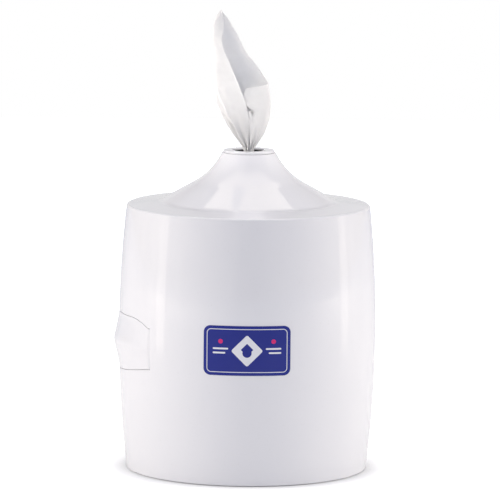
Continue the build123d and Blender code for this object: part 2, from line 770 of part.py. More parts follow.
def make_nozzle_ring():
    """Ring at the top of the funnel: rounded lip, throat, and a body screwed to the shelf."""
    underside = FUNNEL_TOP_Z + CLEAR
    flange_top = SHELF_TOP_Z + RING_FLANGE
    lip_low = NOZZLE_Z - RING_LIP_DEPTH
    outline = [
        (MOUTH_R, lip_low),
        (SLEEVE_R + CLEAR, lip_low),
        (SLEEVE_R + CLEAR, DISC_TOP_Z),
        (DISC_R + CLEAR, DISC_TOP_Z),
        (DISC_R + CLEAR, SHELF_TOP_Z),
        (RING_BODY_R, SHELF_TOP_Z),
        (RING_BODY_R, RING_BODY_TOP_Z),
        (THROAT_R, RING_BODY_TOP_Z),
        (THROAT_R, underside),
        (RING_R, underside),
        (RING_R, NOZZLE_Z),
        (MOUTH_R, NOZZLE_Z),
    ]
    profile = make_face(Polyline(*outline, close=True))
    for corner in [(RING_R, NOZZLE_Z), (MOUTH_R, NOZZLE_Z)]:
        vertex = profile.vertices().sort_by_distance((corner[0], corner[1], 0))[0]
        profile = fillet(vertex, RING_LIP)
    ring = revolve(Plane.XZ * profile, Axis.Z)
    for x, y in ring_screw_places():
        boss = rod(x, y, SHELF_TOP_Z, SHELF_TOP_Z + RING_BOSS_HEIGHT, RING_BOSS_R)
        ring += boss - rod(0, 0, SHELF_TOP_Z - 1, flange_top + RING_BOSS_HEIGHT, DISC_R + CLEAR)
    for x, y in ring_screw_places():
        top = SHELF_TOP_Z + RING_BOSS_HEIGHT - 1
        ring -= rod(x, y, SHELF_TOP_Z - 1, top, SCREW_R + FIT)
    return ring


def make_orifice_disc():
    """Elastomer disc with a star of slits that grips the strand, and a sleeve up the throat."""
    disc = rod(0, 0, DISC_LOW_Z, DISC_TOP_Z, DISC_R)
    disc += rod(0, 0, DISC_LOW_Z, SLEEVE_TOP_Z, SLEEVE_R)
    disc -= rod(0, 0, DISC_TOP_Z, SLEEVE_TOP_Z + 1, SLEEVE_BORE_R)
    disc -= rod(0, 0, DISC_LOW_Z - 1, DISC_TOP_Z + 1, STRAND_R + CLEAR)
    slit = Pos(SLIT_REACH / 2, 0, DISC_LOW_Z) * Box(SLIT_REACH, SLIT_WIDTH, 4 * DISC_THICK)
    for index in range(SLIT_COUNT):
        disc -= Rot(0, 0, index * 360 / SLIT_COUNT) * slit
    return disc


def make_orifice_retainer():
    """Plain ring that clamps the disc up into the nozzle ring."""
    ring = rod(0, 0, SHELF_TOP_Z, SHELF_TOP_Z + RETAINER_THICK, DISC_R)
    return ring - rod(0, 0, SHELF_TOP_Z - 1, DISC_LOW_Z + 1, RETAINER_BORE_R)


def upward_screw(x, y, seat_z, tip_z):
    """Pan-head screw driven upwards, with a cross recess in its head."""
    low = seat_z - SCREW_HEAD
    screw = rod(x, y, low, seat_z, SCREW_HEAD_R)
    screw -= Pos(x, y, low) * Box(0.6, 2 * SCREW_R, SCREW_R)
    screw -= Pos(x, y, low) * Box(2 * SCREW_R, 0.6, SCREW_R)
    return screw + rod(x, y, seat_z, tip_z, SCREW_R)


def make_nozzle_screws():
    """Three screws, driven up through the bracket into the ring."""
    seat = SHELF_TOP_Z - SHELF_THICK
    tip = SHELF_TOP_Z + RING_BOSS_HEIGHT - 2
    return Part() + [upward_screw(x, y, seat, tip) for x, y in ring_screw_places()]


def make_bracket_screws():
    """Two screws, driven up through the ledge into the bracket."""
    seat = SHELF_TOP_Z - SHELF_THICK - LEDGE_THICK
    tip = SHELF_TOP_Z - 0.5
    return Part() + [upward_screw(x, y, seat, tip) for x, y in ledge_screw_places()]


def make_roll_tray():
    """Shallow dish on the floor that centres the refill."""
    tray = rod(0, 0, TRAY_Z, TRAY_Z + TRAY_HEIGHT, TRAY_R)
    return tray - rod(0, 0, TRAY_Z + TRAY_WALL, TRAY_Z + TRAY_HEIGHT + 1, TRAY_R - TRAY_WALL)


def make_refill_bag():
    """Film bag around the roll, gathered to an open mouth above it."""
    side_top = ROLL_TOP_Z + BAG_FILM
    mouth_z = side_top + BAG_CONE
    outline = [
        (0, BAG_Z),
        (BAG_R, BAG_Z),
        (BAG_R, side_top),
        (BAG_MOUTH_R, mouth_z),
        (BAG_MOUTH_R - BAG_FILM, mouth_z - BAG_FILM),
        (BAG_R - BAG_FILM, side_top - BAG_FILM / 2),
        (BAG_R - BAG_FILM, BAG_Z + BAG_FILM),
        (0, BAG_Z + BAG_FILM),
    ]
    return revolve(Plane.XZ * make_face(Polyline(*outline, close=True)), Axis.Z)


def make_wipes_roll():
    """Wound roll with an open core."""
    corners = [(CORE_R, ROLL_Z), (ROLL_R, ROLL_Z), (ROLL_R, ROLL_TOP_Z), (CORE_R, ROLL_TOP_Z)]
    profile = make_face(Polyline(*corners, close=True))
    profile = fillet(profile.vertices(), ROLL_EDGE)
    return revolve(Plane.XZ * profile, Axis.Z)


def make_wipe_strand():
    """The gathered strand: up the core's wall, in to the axis and up to the orifice."""
    side = CORE_R - STRAND_R - CLEAR
    points = [
        (side, 0, ROLL_TOP_Z - STRAND_DEPTH),
        (side, 0, ROLL_TOP_Z + STRAND_R),
        (0, 0, ROLL_TOP_Z + STRAND_CLIMB),
        (0, 0, DISC_TOP_Z + CLEAR),
    ]
    path = FilletPolyline(*points, radius=STRAND_BEND_R)
    return sweep(Pos(*points[0]) * Circle(STRAND_R), path=path)


def wipe_section(level):
    """One level of the wipe: a rear wall, a fold on the left and a flap across the front."""
    height, left, right, back, front = [WIPE_STAND * part / 100 for part in level[:5]]
    reach = level[5]
    thick = min(WIPE_THICK, (right - left) / 5)
    middle = (left + right) / 2
    flap_x = left + reach * (right - left - 2 * thick)
    flap_middle = (left + flap_x) / 2
    flap_y = -front * sqrt(max(0.0, 1 - ((flap_x - middle) / (right - middle)) ** 2)) * 0.95 - WIPE_THICK / 12
    flap_bulge = -front * sqrt(1 - ((flap_middle - middle) / (right - middle)) ** 2)
    flap_bulge = min(flap_bulge, flap_y / 2 - WIPE_THICK / 4)
    edges = [
        ThreePointArc((right, 0), (middle, back), (left, 0)),
        ThreePointArc((left, 0), (flap_middle, flap_bulge), (flap_x, flap_y)),
        Line((flap_x, flap_y), (flap_x, flap_y + thick)),
        ThreePointArc(
            (flap_x, flap_y + thick),
            (flap_middle + thick / 2, flap_bulge + thick),
            (left + thick, 0),
        ),
        ThreePointArc((left + thick, 0), (middle, back - thick), (right - thick, 0)),
        Line((right - thick, 0), (right, 0)),
    ]
    return Pos(0, 0, NOZZLE_Z + height) * make_face(edges)


def make_wipe_sheet():
    """The wipe that stands out of the nozzle, gathered at the mouth and opening like a lily."""
    stem_level = 100 * (DISC_TOP_Z + CLEAR - NOZZLE_Z) / WIPE_STAND
    stem = (stem_level,) + WIPE_LEVELS[0][1:]
    return loft([wipe_section(level) for level in [stem] + WIPE_LEVELS], ruled=True)


PARTS = {
    "rear_housing": make_rear_housing,
    "front_cover": make_front_cover,
    "hinge_pin": make_hinge_pin,
    "front_label": make_front_label,
    "latch_lever": make_latch_lever,
    "latch_pin": make_latch_pin,
    "latch_spring": make_latch_spring,
    "keeper_plate": make_keeper_plate,
    "keeper_screws": make_keeper_screws,
    "nozzle_bracket": make_nozzle_bracket,
    "bracket_screws": make_bracket_screws,
    "nozzle_ring": make_nozzle_ring,
    "orifice_disc": make_orifice_disc,
    "orifice_retainer": make_orifice_retainer,
    "nozzle_screws": make_nozzle_screws,
    "roll_tray": make_roll_tray,
    "refill_bag": make_refill_bag,
    "wipes_roll": make_wipes_roll,
    "wipe_strand": make_wipe_strand,
    "wipe_sheet": make_wipe_sheet,
}

os.makedirs("parts", exist_ok=True)
for name, make in PARTS.items():
    export_step(make(), f"parts/{name}.step")
    print(name)
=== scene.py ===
# %% [markdown]
# # A wall-hung dispenser of wipes
#
# The object is a glossy white drum that holds a big roll of wipes. The strand climbs from the
# roll's core, passes a rubber disc in the nozzle, and the next wipe stands ready above it.
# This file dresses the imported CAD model: it sets the camera and the light, gives every part its
# finish, and makes the soft things, which CAD can only hint at, as cloth and film.
# Everything is in metres, with the origin on the drum's axis at its foot, the front towards -Y
# and the wall towards +Y.

import math

import bpy
import numpy as np
from mathutils import Matrix, Vector, noise


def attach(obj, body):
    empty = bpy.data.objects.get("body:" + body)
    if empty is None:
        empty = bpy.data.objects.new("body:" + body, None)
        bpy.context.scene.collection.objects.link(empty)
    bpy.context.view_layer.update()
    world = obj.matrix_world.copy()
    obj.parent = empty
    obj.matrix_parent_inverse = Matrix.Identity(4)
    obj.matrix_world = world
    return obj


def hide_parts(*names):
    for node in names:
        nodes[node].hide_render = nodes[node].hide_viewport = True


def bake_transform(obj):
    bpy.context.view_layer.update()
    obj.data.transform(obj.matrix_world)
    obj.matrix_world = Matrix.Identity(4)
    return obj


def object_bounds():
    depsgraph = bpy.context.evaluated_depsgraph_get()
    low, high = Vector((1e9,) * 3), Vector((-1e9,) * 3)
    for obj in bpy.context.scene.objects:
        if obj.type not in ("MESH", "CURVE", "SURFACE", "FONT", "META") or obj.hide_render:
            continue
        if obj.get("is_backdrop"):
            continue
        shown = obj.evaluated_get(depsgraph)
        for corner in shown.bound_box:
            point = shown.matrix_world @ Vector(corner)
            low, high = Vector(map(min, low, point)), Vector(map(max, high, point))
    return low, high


MM = 0.001

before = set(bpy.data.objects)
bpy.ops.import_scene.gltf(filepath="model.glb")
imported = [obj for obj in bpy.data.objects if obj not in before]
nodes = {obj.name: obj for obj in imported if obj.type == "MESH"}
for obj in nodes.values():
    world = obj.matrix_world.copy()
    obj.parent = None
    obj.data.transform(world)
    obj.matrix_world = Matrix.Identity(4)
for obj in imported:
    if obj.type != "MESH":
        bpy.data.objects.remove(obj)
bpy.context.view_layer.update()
bpy.ops.object.select_all(action="DESELECT")

# %% [markdown]
# ## The camera
#
# The picture is a product shot: a long lens from far away, a little above the middle of the
# drum, so the funnel's rim and the nozzle's mouth show as thin ellipses. A long lens keeps the
# drum's sides almost parallel. The camera is also turned by half a degree about its own line of
# sight, because the drum leans that much in the picture.

# %% Camera
PICTURE = 500
PIXELS_PER_METRE = 943.5
AIM = Vector((0.0021, 0.0, 0.2315))
DISTANCE = 5.2
ELEVATION = math.radians(7.56)
LEAN = math.radians(0.54)
SENSOR = 36.0

lens = bpy.data.cameras.new("long_lens")
camera = bpy.data.objects.new("camera", lens)
bpy.context.collection.objects.link(camera)
lens.sensor_width = SENSOR
lens.lens = SENSOR * PIXELS_PER_METRE * DISTANCE / PICTURE
lens.clip_end = 50.0
camera.location = AIM + DISTANCE * Vector((0, -math.cos(ELEVATION), math.sin(ELEVATION)))
tilt = Matrix.Rotation(math.pi / 2 - ELEVATION, 3, "X")
camera.rotation_euler = (tilt @ Matrix.Rotation(LEAN, 3, "Z")).to_euler()
bpy.context.scene.camera = camera
bpy.context.scene.view_settings.view_transform = "Standard"
print("lens", round(lens.lens, 1), "mm")

# %% [markdown]
# ## Small helpers for node trees
#
# Every finish is a tree of shader nodes. A few helpers keep the trees readable. They add and
# join nodes, start a material with its Principled shader, and start a group, which is a piece
# of a tree with named inputs and outputs that several materials share.

# %% Node helpers
def add_node(tree, kind, **settings):
    node = tree.nodes.new("ShaderNode" + kind)
    for name, value in settings.items():
        setattr(node, name, value)
    return node


def join(tree, source, target):
    tree.links.new(source, target)


def maths(tree, operation, first, second=None):
    """A Math node whose inputs are sockets or plain numbers."""
    node = add_node(tree, "Math", operation=operation)
    for socket, value in zip(node.inputs, (first, second)):
        if isinstance(value, (int, float)):
            socket.default_value = value
        elif value is not None:
            join(tree, value, socket)
    return node.outputs[0]


def ramp(tree, value, start, end, low=0.0, high=1.0, kind="SMOOTHSTEP"):
    """A Map Range node: low where the value is at start, and high where it is at end."""
    node = add_node(tree, "MapRange", interpolation_type=kind)
    for label, level in zip(("From Min", "From Max", "To Min", "To Max"), (start, end, low, high)):
        node.inputs[label].default_value = level
    join(tree, value, node.inputs["Value"])
    return node.outputs["Result"]


def new_finish(name):
    """An empty material with one Principled shader."""
    finish = bpy.data.materials.new(name)
    finish.use_nodes = True
    tree = finish.node_tree
    tree.nodes.clear()
    shader = add_node(tree, "BsdfPrincipled")
    out = add_node(tree, "OutputMaterial")
    join(tree, shader.outputs["BSDF"], out.inputs["Surface"])
    return finish, tree, shader


def new_effect(name, inputs, outputs):
    """A node group with float inputs, a Vector input and the named outputs."""
    group = bpy.data.node_groups.new(name, "ShaderNodeTree")
    group.interface.new_socket("Vector", in_out="INPUT", socket_type="NodeSocketVector")
    for label, value in inputs.items():
        socket = group.interface.new_socket(label, in_out="INPUT", socket_type="NodeSocketFloat")
        socket.default_value = value
    for label in outputs:
        group.interface.new_socket(label, in_out="OUTPUT", socket_type="NodeSocketFloat")
    return group, group.nodes.new("NodeGroupInput"), group.nodes.new("NodeGroupOutput")


def use_effect(tree, group, vector, **values):
    node = tree.nodes.new("ShaderNodeGroup")
    node.node_tree = group
    join(tree, vector, node.inputs["Vector"])
    for label, value in values.items():
        node.inputs[label.replace("_", " ")].default_value = value
    return node


def mix_colours(tree, share, first, second):
    """A colour between two, by a mask."""
    mix = add_node(tree, "Mix", data_type="RGBA")
    join(tree, share, mix.inputs["Factor"])
    for label, value in (("A", first), ("B", second)):
        socket = [s for s in mix.inputs if s.name == label and s.type == "RGBA"][0]
        if isinstance(value, tuple):
            socket.default_value = (*value, 1.0)
        else:
            join(tree, value, socket)
    return [s for s in mix.outputs if s.type == "RGBA"][0]


def stretch(tree, vector, factors):
    """The coordinates times three factors, to draw a pattern out along one way."""
    node = add_node(tree, "VectorMath", operation="MULTIPLY")
    join(tree, vector, node.inputs[0])
    node.inputs[1].default_value = factors
    return node.outputs["Vector"]


def raise_surface(tree, height, strength, depth, shader):
    """A Bump node that turns a height into the shader's normal; depth is in metres."""
    bump = add_node(tree, "Bump")
    bump.inputs["Strength"].default_value = strength
    bump.inputs["Distance"].default_value = depth
    join(tree, height, bump.inputs["Height"])
    join(tree, bump.outputs["Normal"], shader.inputs["Normal"])


# %% [markdown]
# ## The floor and the background
#
# The background of the picture is pure white. A lamp strong enough for that would burn out the
# white drum, so the floor and the world are white by themselves where the camera sees them, and
# are dimmer in what the plastic mirrors and in how they light the drum. The floor's own white
# fades close under the foot, where the object blocks it, and that is the contact shadow.

# %% White floor with a contact shadow
FLOOR_SIZE = 7.0
FLOOR_DROP = 0.4 * MM
FLOOR_TONE = (0.80, 0.80, 0.80, 1)
FLOOR_GLOW = 0.92
FLOOR_MIRROR = 0.15
SHADOW_GLOW = 0.10
SHADOW_REACH = 0.10
SHADOW_FROM, SHADOW_TO = 0.50, 0.88


def ray_share(tree, kind):
    """One for rays of that kind, else zero."""
    return add_node(tree, "LightPath").outputs["Is " + kind + " Ray"]


bpy.ops.mesh.primitive_plane_add(size=FLOOR_SIZE, location=(0, 0, -FLOOR_DROP))
floor = bpy.context.object
floor.name = "floor"
paper, tree, shader = new_finish("white_paper")
shader.inputs["Base Color"].default_value = FLOOR_TONE
shader.inputs["Roughness"].default_value = 0.9
shader.inputs["Specular IOR Level"].default_value = 0.0
blocked = add_node(tree, "AmbientOcclusion", samples=16)
blocked.inputs["Distance"].default_value = SHADOW_REACH
glow = ramp(tree, blocked.outputs["AO"], SHADOW_FROM, SHADOW_TO, SHADOW_GLOW, FLOOR_GLOW)
seen = maths(tree, "MAXIMUM", ray_share(tree, "Camera"), ray_share(tree, "Transmission"))
dimmed = maths(tree, "MULTIPLY", ray_share(tree, "Glossy"), FLOOR_MIRROR)
seen = maths(tree, "MAXIMUM", seen, dimmed)
join(tree, maths(tree, "MULTIPLY", glow, seen), shader.inputs["Emission Strength"])
shader.inputs["Emission Color"].default_value = (1, 1, 1, 1)
floor.data.materials.append(paper)
floor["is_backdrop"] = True
floor.select_set(False)
print("floor ready")

# %% [markdown]
# The room around the drum is white and its ceiling is dark, and somebody stands at the camera.
# Glossy plastic shows all of that: the flanks of the funnel mirror the ceiling, and a darker
# upright stripe down the middle of the drum is the mirror image of the camera's place. So what
# glossy rays meet is graded by direction, while the world's light on matt surfaces is even and
# a little cool, and the camera sees plain white.

# %% World
WORLD_LIGHT = 0.52
COOL_TINT = (0.72, 0.79, 1.0)
BACK_MIRROR = 0.45
BACK_SHARPNESS = 11.0
SIDE_MIRROR = 0.28
FRONT_MIRROR = 0.25
CEILING = (0.2, 0.5)
STRIPE_LEFT = (-0.20, -0.11)
STRIPE_RIGHT = (0.36, 0.16)
FRONT_EDGE, BACK_EDGE = -0.6, 0.2

world = bpy.data.worlds.new("studio")
bpy.context.scene.world = world
world.use_nodes = True
tree = world.node_tree
tree.nodes.clear()
compass = add_node(tree, "SeparateXYZ")
join(tree, add_node(tree, "TexCoord").outputs["Generated"], compass.inputs[0])


def fade_out(axis, start, end):
    """One up to start along an axis of the world, falling to zero at end."""
    return ramp(tree, compass.outputs[axis], start, end, 1.0, 0.0)


backwards = maths(tree, "MAXIMUM", compass.outputs["Y"], 0.0)
sweep = maths(tree, "POWER", backwards, BACK_SHARPNESS)
sides = maths(tree, "MULTIPLY", fade_out("Y", BACK_EDGE, FRONT_EDGE), SIDE_MIRROR)
back_share = maths(tree, "ADD", maths(tree, "MULTIPLY", sweep, BACK_MIRROR), sides)
in_front = fade_out("Y", FRONT_EDGE, BACK_EDGE)
beside_camera = maths(tree, "MAXIMUM", fade_out("X", *STRIPE_LEFT), fade_out("X", *STRIPE_RIGHT))
front_share = maths(tree, "MULTIPLY", maths(tree, "MULTIPLY", in_front, beside_camera), FRONT_MIRROR)
all_round = maths(tree, "ADD", back_share, front_share)
mirrored = maths(tree, "MULTIPLY", all_round, fade_out("Z", *CEILING))
glossy = ray_share(tree, "Glossy")
shown = maths(tree, "MAXIMUM", ray_share(tree, "Camera"), ray_share(tree, "Transmission"))
even = maths(tree, "MULTIPLY", maths(tree, "SUBTRACT", 1.0, glossy), WORLD_LIGHT)
lit = maths(tree, "ADD", even, maths(tree, "MULTIPLY", glossy, mirrored))
unseen = maths(tree, "MULTIPLY", lit, maths(tree, "SUBTRACT", 1.0, shown))
backdrop = add_node(tree, "Background")
untinted = maths(tree, "MAXIMUM", shown, glossy)
join(tree, mix_colours(tree, untinted, COOL_TINT, (1.0, 1.0, 1.0)), backdrop.inputs["Color"])
join(tree, maths(tree, "ADD", unseen, shown), backdrop.inputs["Strength"])
join(tree, backdrop.outputs[0], add_node(tree, "OutputWorld").inputs["Surface"])
print("world ready")

# %% [markdown]
# ## The lamps
#
# Two tall soft boxes stand beside and a little behind the drum. A glossy cylinder mirrors each
# as a bright upright band whose inner edge is sharp, and those bands make the drum read as
# glossy plastic. Each box fades outwards, so it is built from two strips of falling brightness.
# A box overhead is mirrored by the front of the funnel. The wide panels only light the drum and
# aren't mirrored: they round it off from dark in the middle to bright at the sides. A small box
# with a narrow beam lifts the wipe alone, as light that comes through thin cloth does.

# %% Soft boxes
LAMP_TINT = (1.0, 0.92, 0.80)
LAMP_AIM = Vector((0, 0, 0.2))
MIRRORED = (
    # name, azimuth, elevation, distance, width, height, radiance
    ("left_inner", -79, 8, 0.9, 0.157, 1.9, 1.34),
    ("left_outer", -89, 8, 0.9, 0.157, 1.9, 0.38),
    ("right_inner", 91.25, 8, 0.9, 0.150, 1.9, 1.10),
    ("right_outer", 101.5, 8, 0.9, 0.173, 1.9, 0.24),
    ("over_box", 180, 80, 1.82, 1.60, 1.45, 1.80),
)
FILLS = (
    ("left_front_fill", -50, 12, 2.4, 1.6, 2.0, 1.20),
    ("left_fill", -75, 12, 2.4, 1.3, 2.0, 2.55),
    ("left_side_fill", -90, 12, 2.4, 0.7, 2.0, 1.50),
    ("right_fill", 75, 12, 2.4, 1.3, 2.0, 3.15),
    ("right_side_fill", 90, 12, 2.4, 0.7, 2.0, 1.40),
    ("right_rear_fill", 100, 12, 2.4, 1.3, 2.0, 1.00),
)
WIPE_LAMP = 0.011
WIPE_LAMP_SIZE = 0.04
WIPE_LAMP_TINT = (1.0, 0.95, 0.90)
WIPE_BEAM = math.radians(6.5)
WIPE_LAMP_PLACE = Vector((-0.35, -1.15, 0.95))
WIPE_MIDDLE = Vector((0, 0, 0.372))


def add_lamp(name, place, aim, width, height, power, tint, mirrored):
    """A rectangular lamp at a place, aimed at a point and unseen by the camera."""
    shine = bpy.data.lights.new(name, "AREA")
    shine.shape = "RECTANGLE"
    shine.size, shine.size_y = width, height
    shine.energy = power
    shine.color = tint
    lamp = bpy.data.objects.new(name, shine)
    bpy.context.collection.objects.link(lamp)
    lamp.location = place
    lamp.rotation_euler = (place - aim).to_track_quat("Z", "Y").to_euler()
    lamp.visible_glossy = mirrored
    lamp.visible_camera = False
    print("lamp", name, "at", tuple(round(v, 2) for v in place))
    return shine


def soft_box(name, azimuth, elevation, distance, width, height, radiance, mirrored):
    """A lamp aimed at the drum. Azimuth 0 is the camera's side, positive rightwards."""
    turn = math.radians(azimuth)
    rise = math.radians(elevation)
    level = math.cos(rise)
    away = Vector((math.sin(turn) * level, -math.cos(turn) * level, math.sin(rise)))
    power = radiance * width * height * math.pi
    add_lamp(name, LAMP_AIM + distance * away, LAMP_AIM, width, height, power, LAMP_TINT, mirrored)


for row in MIRRORED:
    soft_box(*row, mirrored=True)
for row in FILLS:
    soft_box(*row, mirrored=False)
wipe_box = add_lamp(
    "wipe_box", WIPE_LAMP_PLACE, WIPE_MIDDLE, WIPE_LAMP_SIZE, WIPE_LAMP_SIZE, WIPE_LAMP,
    WIPE_LAMP_TINT, mirrored=False,
)
wipe_box.spread = WIPE_BEAM

# %% [markdown]
# ## Effects that several finishes share
#
# Moulded plastic is never perfectly smooth: the tool leaves a very fine skin, and broad, faint
# waves that only show in reflections. The same effect, with other values, serves the glossy
# shell, the matt inner parts and the rubber.

# %% Group: moulded skin
moulded_skin, inlet, outlet = new_effect(
    "moulded_skin", {"Grain size": 0.0008, "Wave size": 0.06, "Wave share": 0.5}, ("Height", "Tone")
)
tree = moulded_skin
grain_rate = maths(tree, "DIVIDE", 1.0, inlet.outputs["Grain size"])
wave_rate = maths(tree, "DIVIDE", 1.0, inlet.outputs["Wave size"])
grain = add_node(tree, "TexNoise")
grain.inputs["Detail"].default_value = 3.0
waves = add_node(tree, "TexNoise")
waves.inputs["Detail"].default_value = 1.5
for texture, rate in ((grain, grain_rate), (waves, wave_rate)):
    join(tree, inlet.outputs["Vector"], texture.inputs["Vector"])
    join(tree, rate, texture.inputs["Scale"])
wave_height = maths(tree, "MULTIPLY", waves.outputs["Fac"], inlet.outputs["Wave share"])
join(tree, maths(tree, "ADD", grain.outputs["Fac"], wave_height), outlet.inputs["Height"])
join(tree, waves.outputs["Fac"], outlet.inputs["Tone"])
print("group", moulded_skin.name)

# %% [markdown]
# Handled plastic also carries a thin, uneven film: faint smudges that change how rough the
# surface is without changing its colour. Layered noise, squeezed to a narrow range, gives
# patches with soft edges.

# %% Group: handling film
handling_film, inlet, outlet = new_effect("handling_film", {"Patch size": 0.03}, ("Smudge", "Speck"))
tree = handling_film
patches = add_node(tree, "TexNoise")
patches.inputs["Detail"].default_value = 5.0
patches.inputs["Distortion"].default_value = 0.6
specks = add_node(tree, "TexNoise")
specks.inputs["Scale"].default_value = 420.0
specks.inputs["Detail"].default_value = 2.0
join(tree, inlet.outputs["Vector"], patches.inputs["Vector"])
join(tree, inlet.outputs["Vector"], specks.inputs["Vector"])
join(tree, maths(tree, "DIVIDE", 1.0, inlet.outputs["Patch size"]), patches.inputs["Scale"])
for texture, label, low, high in ((patches, "Smudge", 0.42, 0.72), (specks, "Speck", 0.62, 0.8)):
    join(tree, ramp(tree, texture.outputs["Fac"], low, high), outlet.inputs[label])
print("group", handling_film.name)

# %% [markdown]
# The wipe is nonwoven cloth: fibres blown into a web and pressed together with fine dots. Two
# noises drawn out along different ways give the fibres, and a Voronoi texture gives the dots.

# %% Group: nonwoven web
nonwoven_web, inlet, outlet = new_effect("nonwoven_web", {"Dot size": 0.0016}, ("Fibre", "Height"))
tree = nonwoven_web
along = add_node(tree, "TexNoise")
across = add_node(tree, "TexNoise")
cloudy = add_node(tree, "TexNoise")
for texture, factors, rate in (
    (along, (1.0, 0.18, 1.0), 2600.0),
    (across, (0.3, 1.0, 1.0), 1900.0),
    (cloudy, (1.0, 0.7, 1.0), 260.0),
):
    join(tree, stretch(tree, inlet.outputs["Vector"], factors), texture.inputs["Vector"])
    texture.inputs["Scale"].default_value = rate
    texture.inputs["Detail"].default_value = 3.0
dots = add_node(tree, "TexVoronoi")
join(tree, inlet.outputs["Vector"], dots.inputs["Vector"])
join(tree, maths(tree, "DIVIDE", 1.0, inlet.outputs["Dot size"]), dots.inputs["Scale"])
fibre = maths(tree, "MULTIPLY", maths(tree, "ADD", along.outputs["Fac"], across.outputs["Fac"]), 0.5)
pressed = maths(tree, "MULTIPLY", dots.outputs["Distance"], 0.5)
cloud = maths(tree, "MULTIPLY", cloudy.outputs["Fac"], 0.8)
join(tree, maths(tree, "ADD", fibre, pressed), outlet.inputs["Height"])
join(tree, maths(tree, "ADD", maths(tree, "MULTIPLY", fibre, 0.6), cloud), outlet.inputs["Fibre"])
print("group", nonwoven_web.name)

# %% [markdown]
# Zinc-plated steel shows fine drawn lines and a cloudy, spangled plating.

# %% Group: drawn metal
drawn_metal, inlet, outlet = new_effect("drawn_metal", {"Line rate": 2400.0}, ("Lines", "Spangle"))
tree = drawn_metal
lines = add_node(tree, "TexNoise")
lines.inputs["Detail"].default_value = 2.0
join(tree, stretch(tree, inlet.outputs["Vector"], (1.0, 1.0, 0.04)), lines.inputs["Vector"])
join(tree, inlet.outputs["Line rate"], lines.inputs["Scale"])
spangle = add_node(tree, "TexVoronoi")
spangle.inputs["Scale"].default_value = 380.0
join(tree, inlet.outputs["Vector"], spangle.inputs["Vector"])
join(tree, lines.outputs["Fac"], outlet.inputs["Lines"])
join(tree, spangle.outputs["Distance"], outlet.inputs["Spangle"])
print("group", drawn_metal.name)

# %% [markdown]
# ## The plastics
#
# The shells are glossy white ABS. Its white is slightly cool, its gloss is high but not a
# mirror's, and the smudges lift the roughness in places. The nozzle is the same plastic with
# more smudges, since cloth and hands rub it. The parts inside are a greyer resin from a matt
# tool, and the disc is black rubber.

# %% Plastic finishes
SPECK_TONE = (0.55, 0.54, 0.52)
SPECK_SHARE = 0.12


def plastic(name, colour, shade, roughness, smudge, grain, depth, strength, ior=1.5, specular=0.5):
    """Moulded plastic: two close colours, a roughness with smudges, and the tool's skin."""
    finish, tree, shader = new_finish(name)
    place = add_node(tree, "TexCoord").outputs["Object"]
    skin = use_effect(tree, moulded_skin, place, Grain_size=grain)
    film = use_effect(tree, handling_film, place)
    tint = mix_colours(tree, skin.outputs["Tone"], colour, shade)
    speck = maths(tree, "MULTIPLY", film.outputs["Speck"], SPECK_SHARE)
    join(tree, mix_colours(tree, speck, tint, SPECK_TONE), shader.inputs["Base Color"])
    smudged = maths(tree, "MULTIPLY", film.outputs["Smudge"], smudge)
    join(tree, maths(tree, "ADD", smudged, roughness), shader.inputs["Roughness"])
    raise_surface(tree, skin.outputs["Height"], strength, depth, shader)
    shader.inputs["IOR"].default_value = ior
    shader.inputs["Specular IOR Level"].default_value = specular
    return finish


shell_plastic = plastic(
    "gloss_plastic",
    colour=(0.80, 0.797, 0.820), shade=(0.778, 0.777, 0.803), roughness=0.045, smudge=0.04,
    grain=1.2 * MM, depth=0.02 * MM, strength=0.12, ior=1.54,
)
nozzle_plastic = plastic(
    "nozzle_plastic",
    colour=(0.79, 0.787, 0.815), shade=(0.76, 0.758, 0.785), roughness=0.10, smudge=0.10,
    grain=0.9 * MM, depth=0.02 * MM, strength=0.15, ior=1.54,
)
inner_plastic = plastic(
    "matte",
    colour=(0.62, 0.63, 0.65), shade=(0.57, 0.58, 0.60), roughness=0.46, smudge=0.12,
    grain=0.7 * MM, depth=0.06 * MM, strength=0.5,
)
soft_rubber = plastic(
    "rubber",
    colour=(0.030, 0.031, 0.034), shade=(0.022, 0.022, 0.024), roughness=0.55, smudge=0.2,
    grain=0.5 * MM, depth=0.06 * MM, strength=0.5, specular=0.35,
)
print("plastics ready")

# %% [markdown]
# ## The steel
#
# Pins, spring, keeper and screws are small zinc-plated parts. They are metal all over, with
# drawn lines in the roughness and a spangled tint.

# %% Zinc-plated steel
zinc_steel, tree, shader = new_finish("brushed_steel")
place = add_node(tree, "TexCoord").outputs["Object"]
drawn = use_effect(tree, drawn_metal, place)
skin = use_effect(tree, moulded_skin, place, Grain_size=0.0004)
spangled = mix_colours(tree, drawn.outputs["Spangle"], (0.66, 0.67, 0.68), (0.50, 0.51, 0.53))
cloudy_zinc = mix_colours(tree, skin.outputs["Tone"], spangled, (0.60, 0.59, 0.56))
join(tree, cloudy_zinc, shader.inputs["Base Color"])
shader.inputs["Metallic"].default_value = 1.0
lined = maths(tree, "MULTIPLY", drawn.outputs["Lines"], 0.25)
join(tree, maths(tree, "ADD", lined, 0.18), shader.inputs["Roughness"])
raise_surface(tree, drawn.outputs["Lines"], 0.3, 0.00003, shader)
print("steel ready")

# %% [markdown]
# ## The label
#
# The front carries a plain printed label in deep blue. It has a thin white border set in from
# its edge, a diamond of cloth with a drop in it, and on each side two bars and a pink dot: a
# generic sign for a cleaning wipe. Each shape is a mask worked out from the distance to its
# edge, so the print stays sharp at any size, and the masks are laid on one after another.

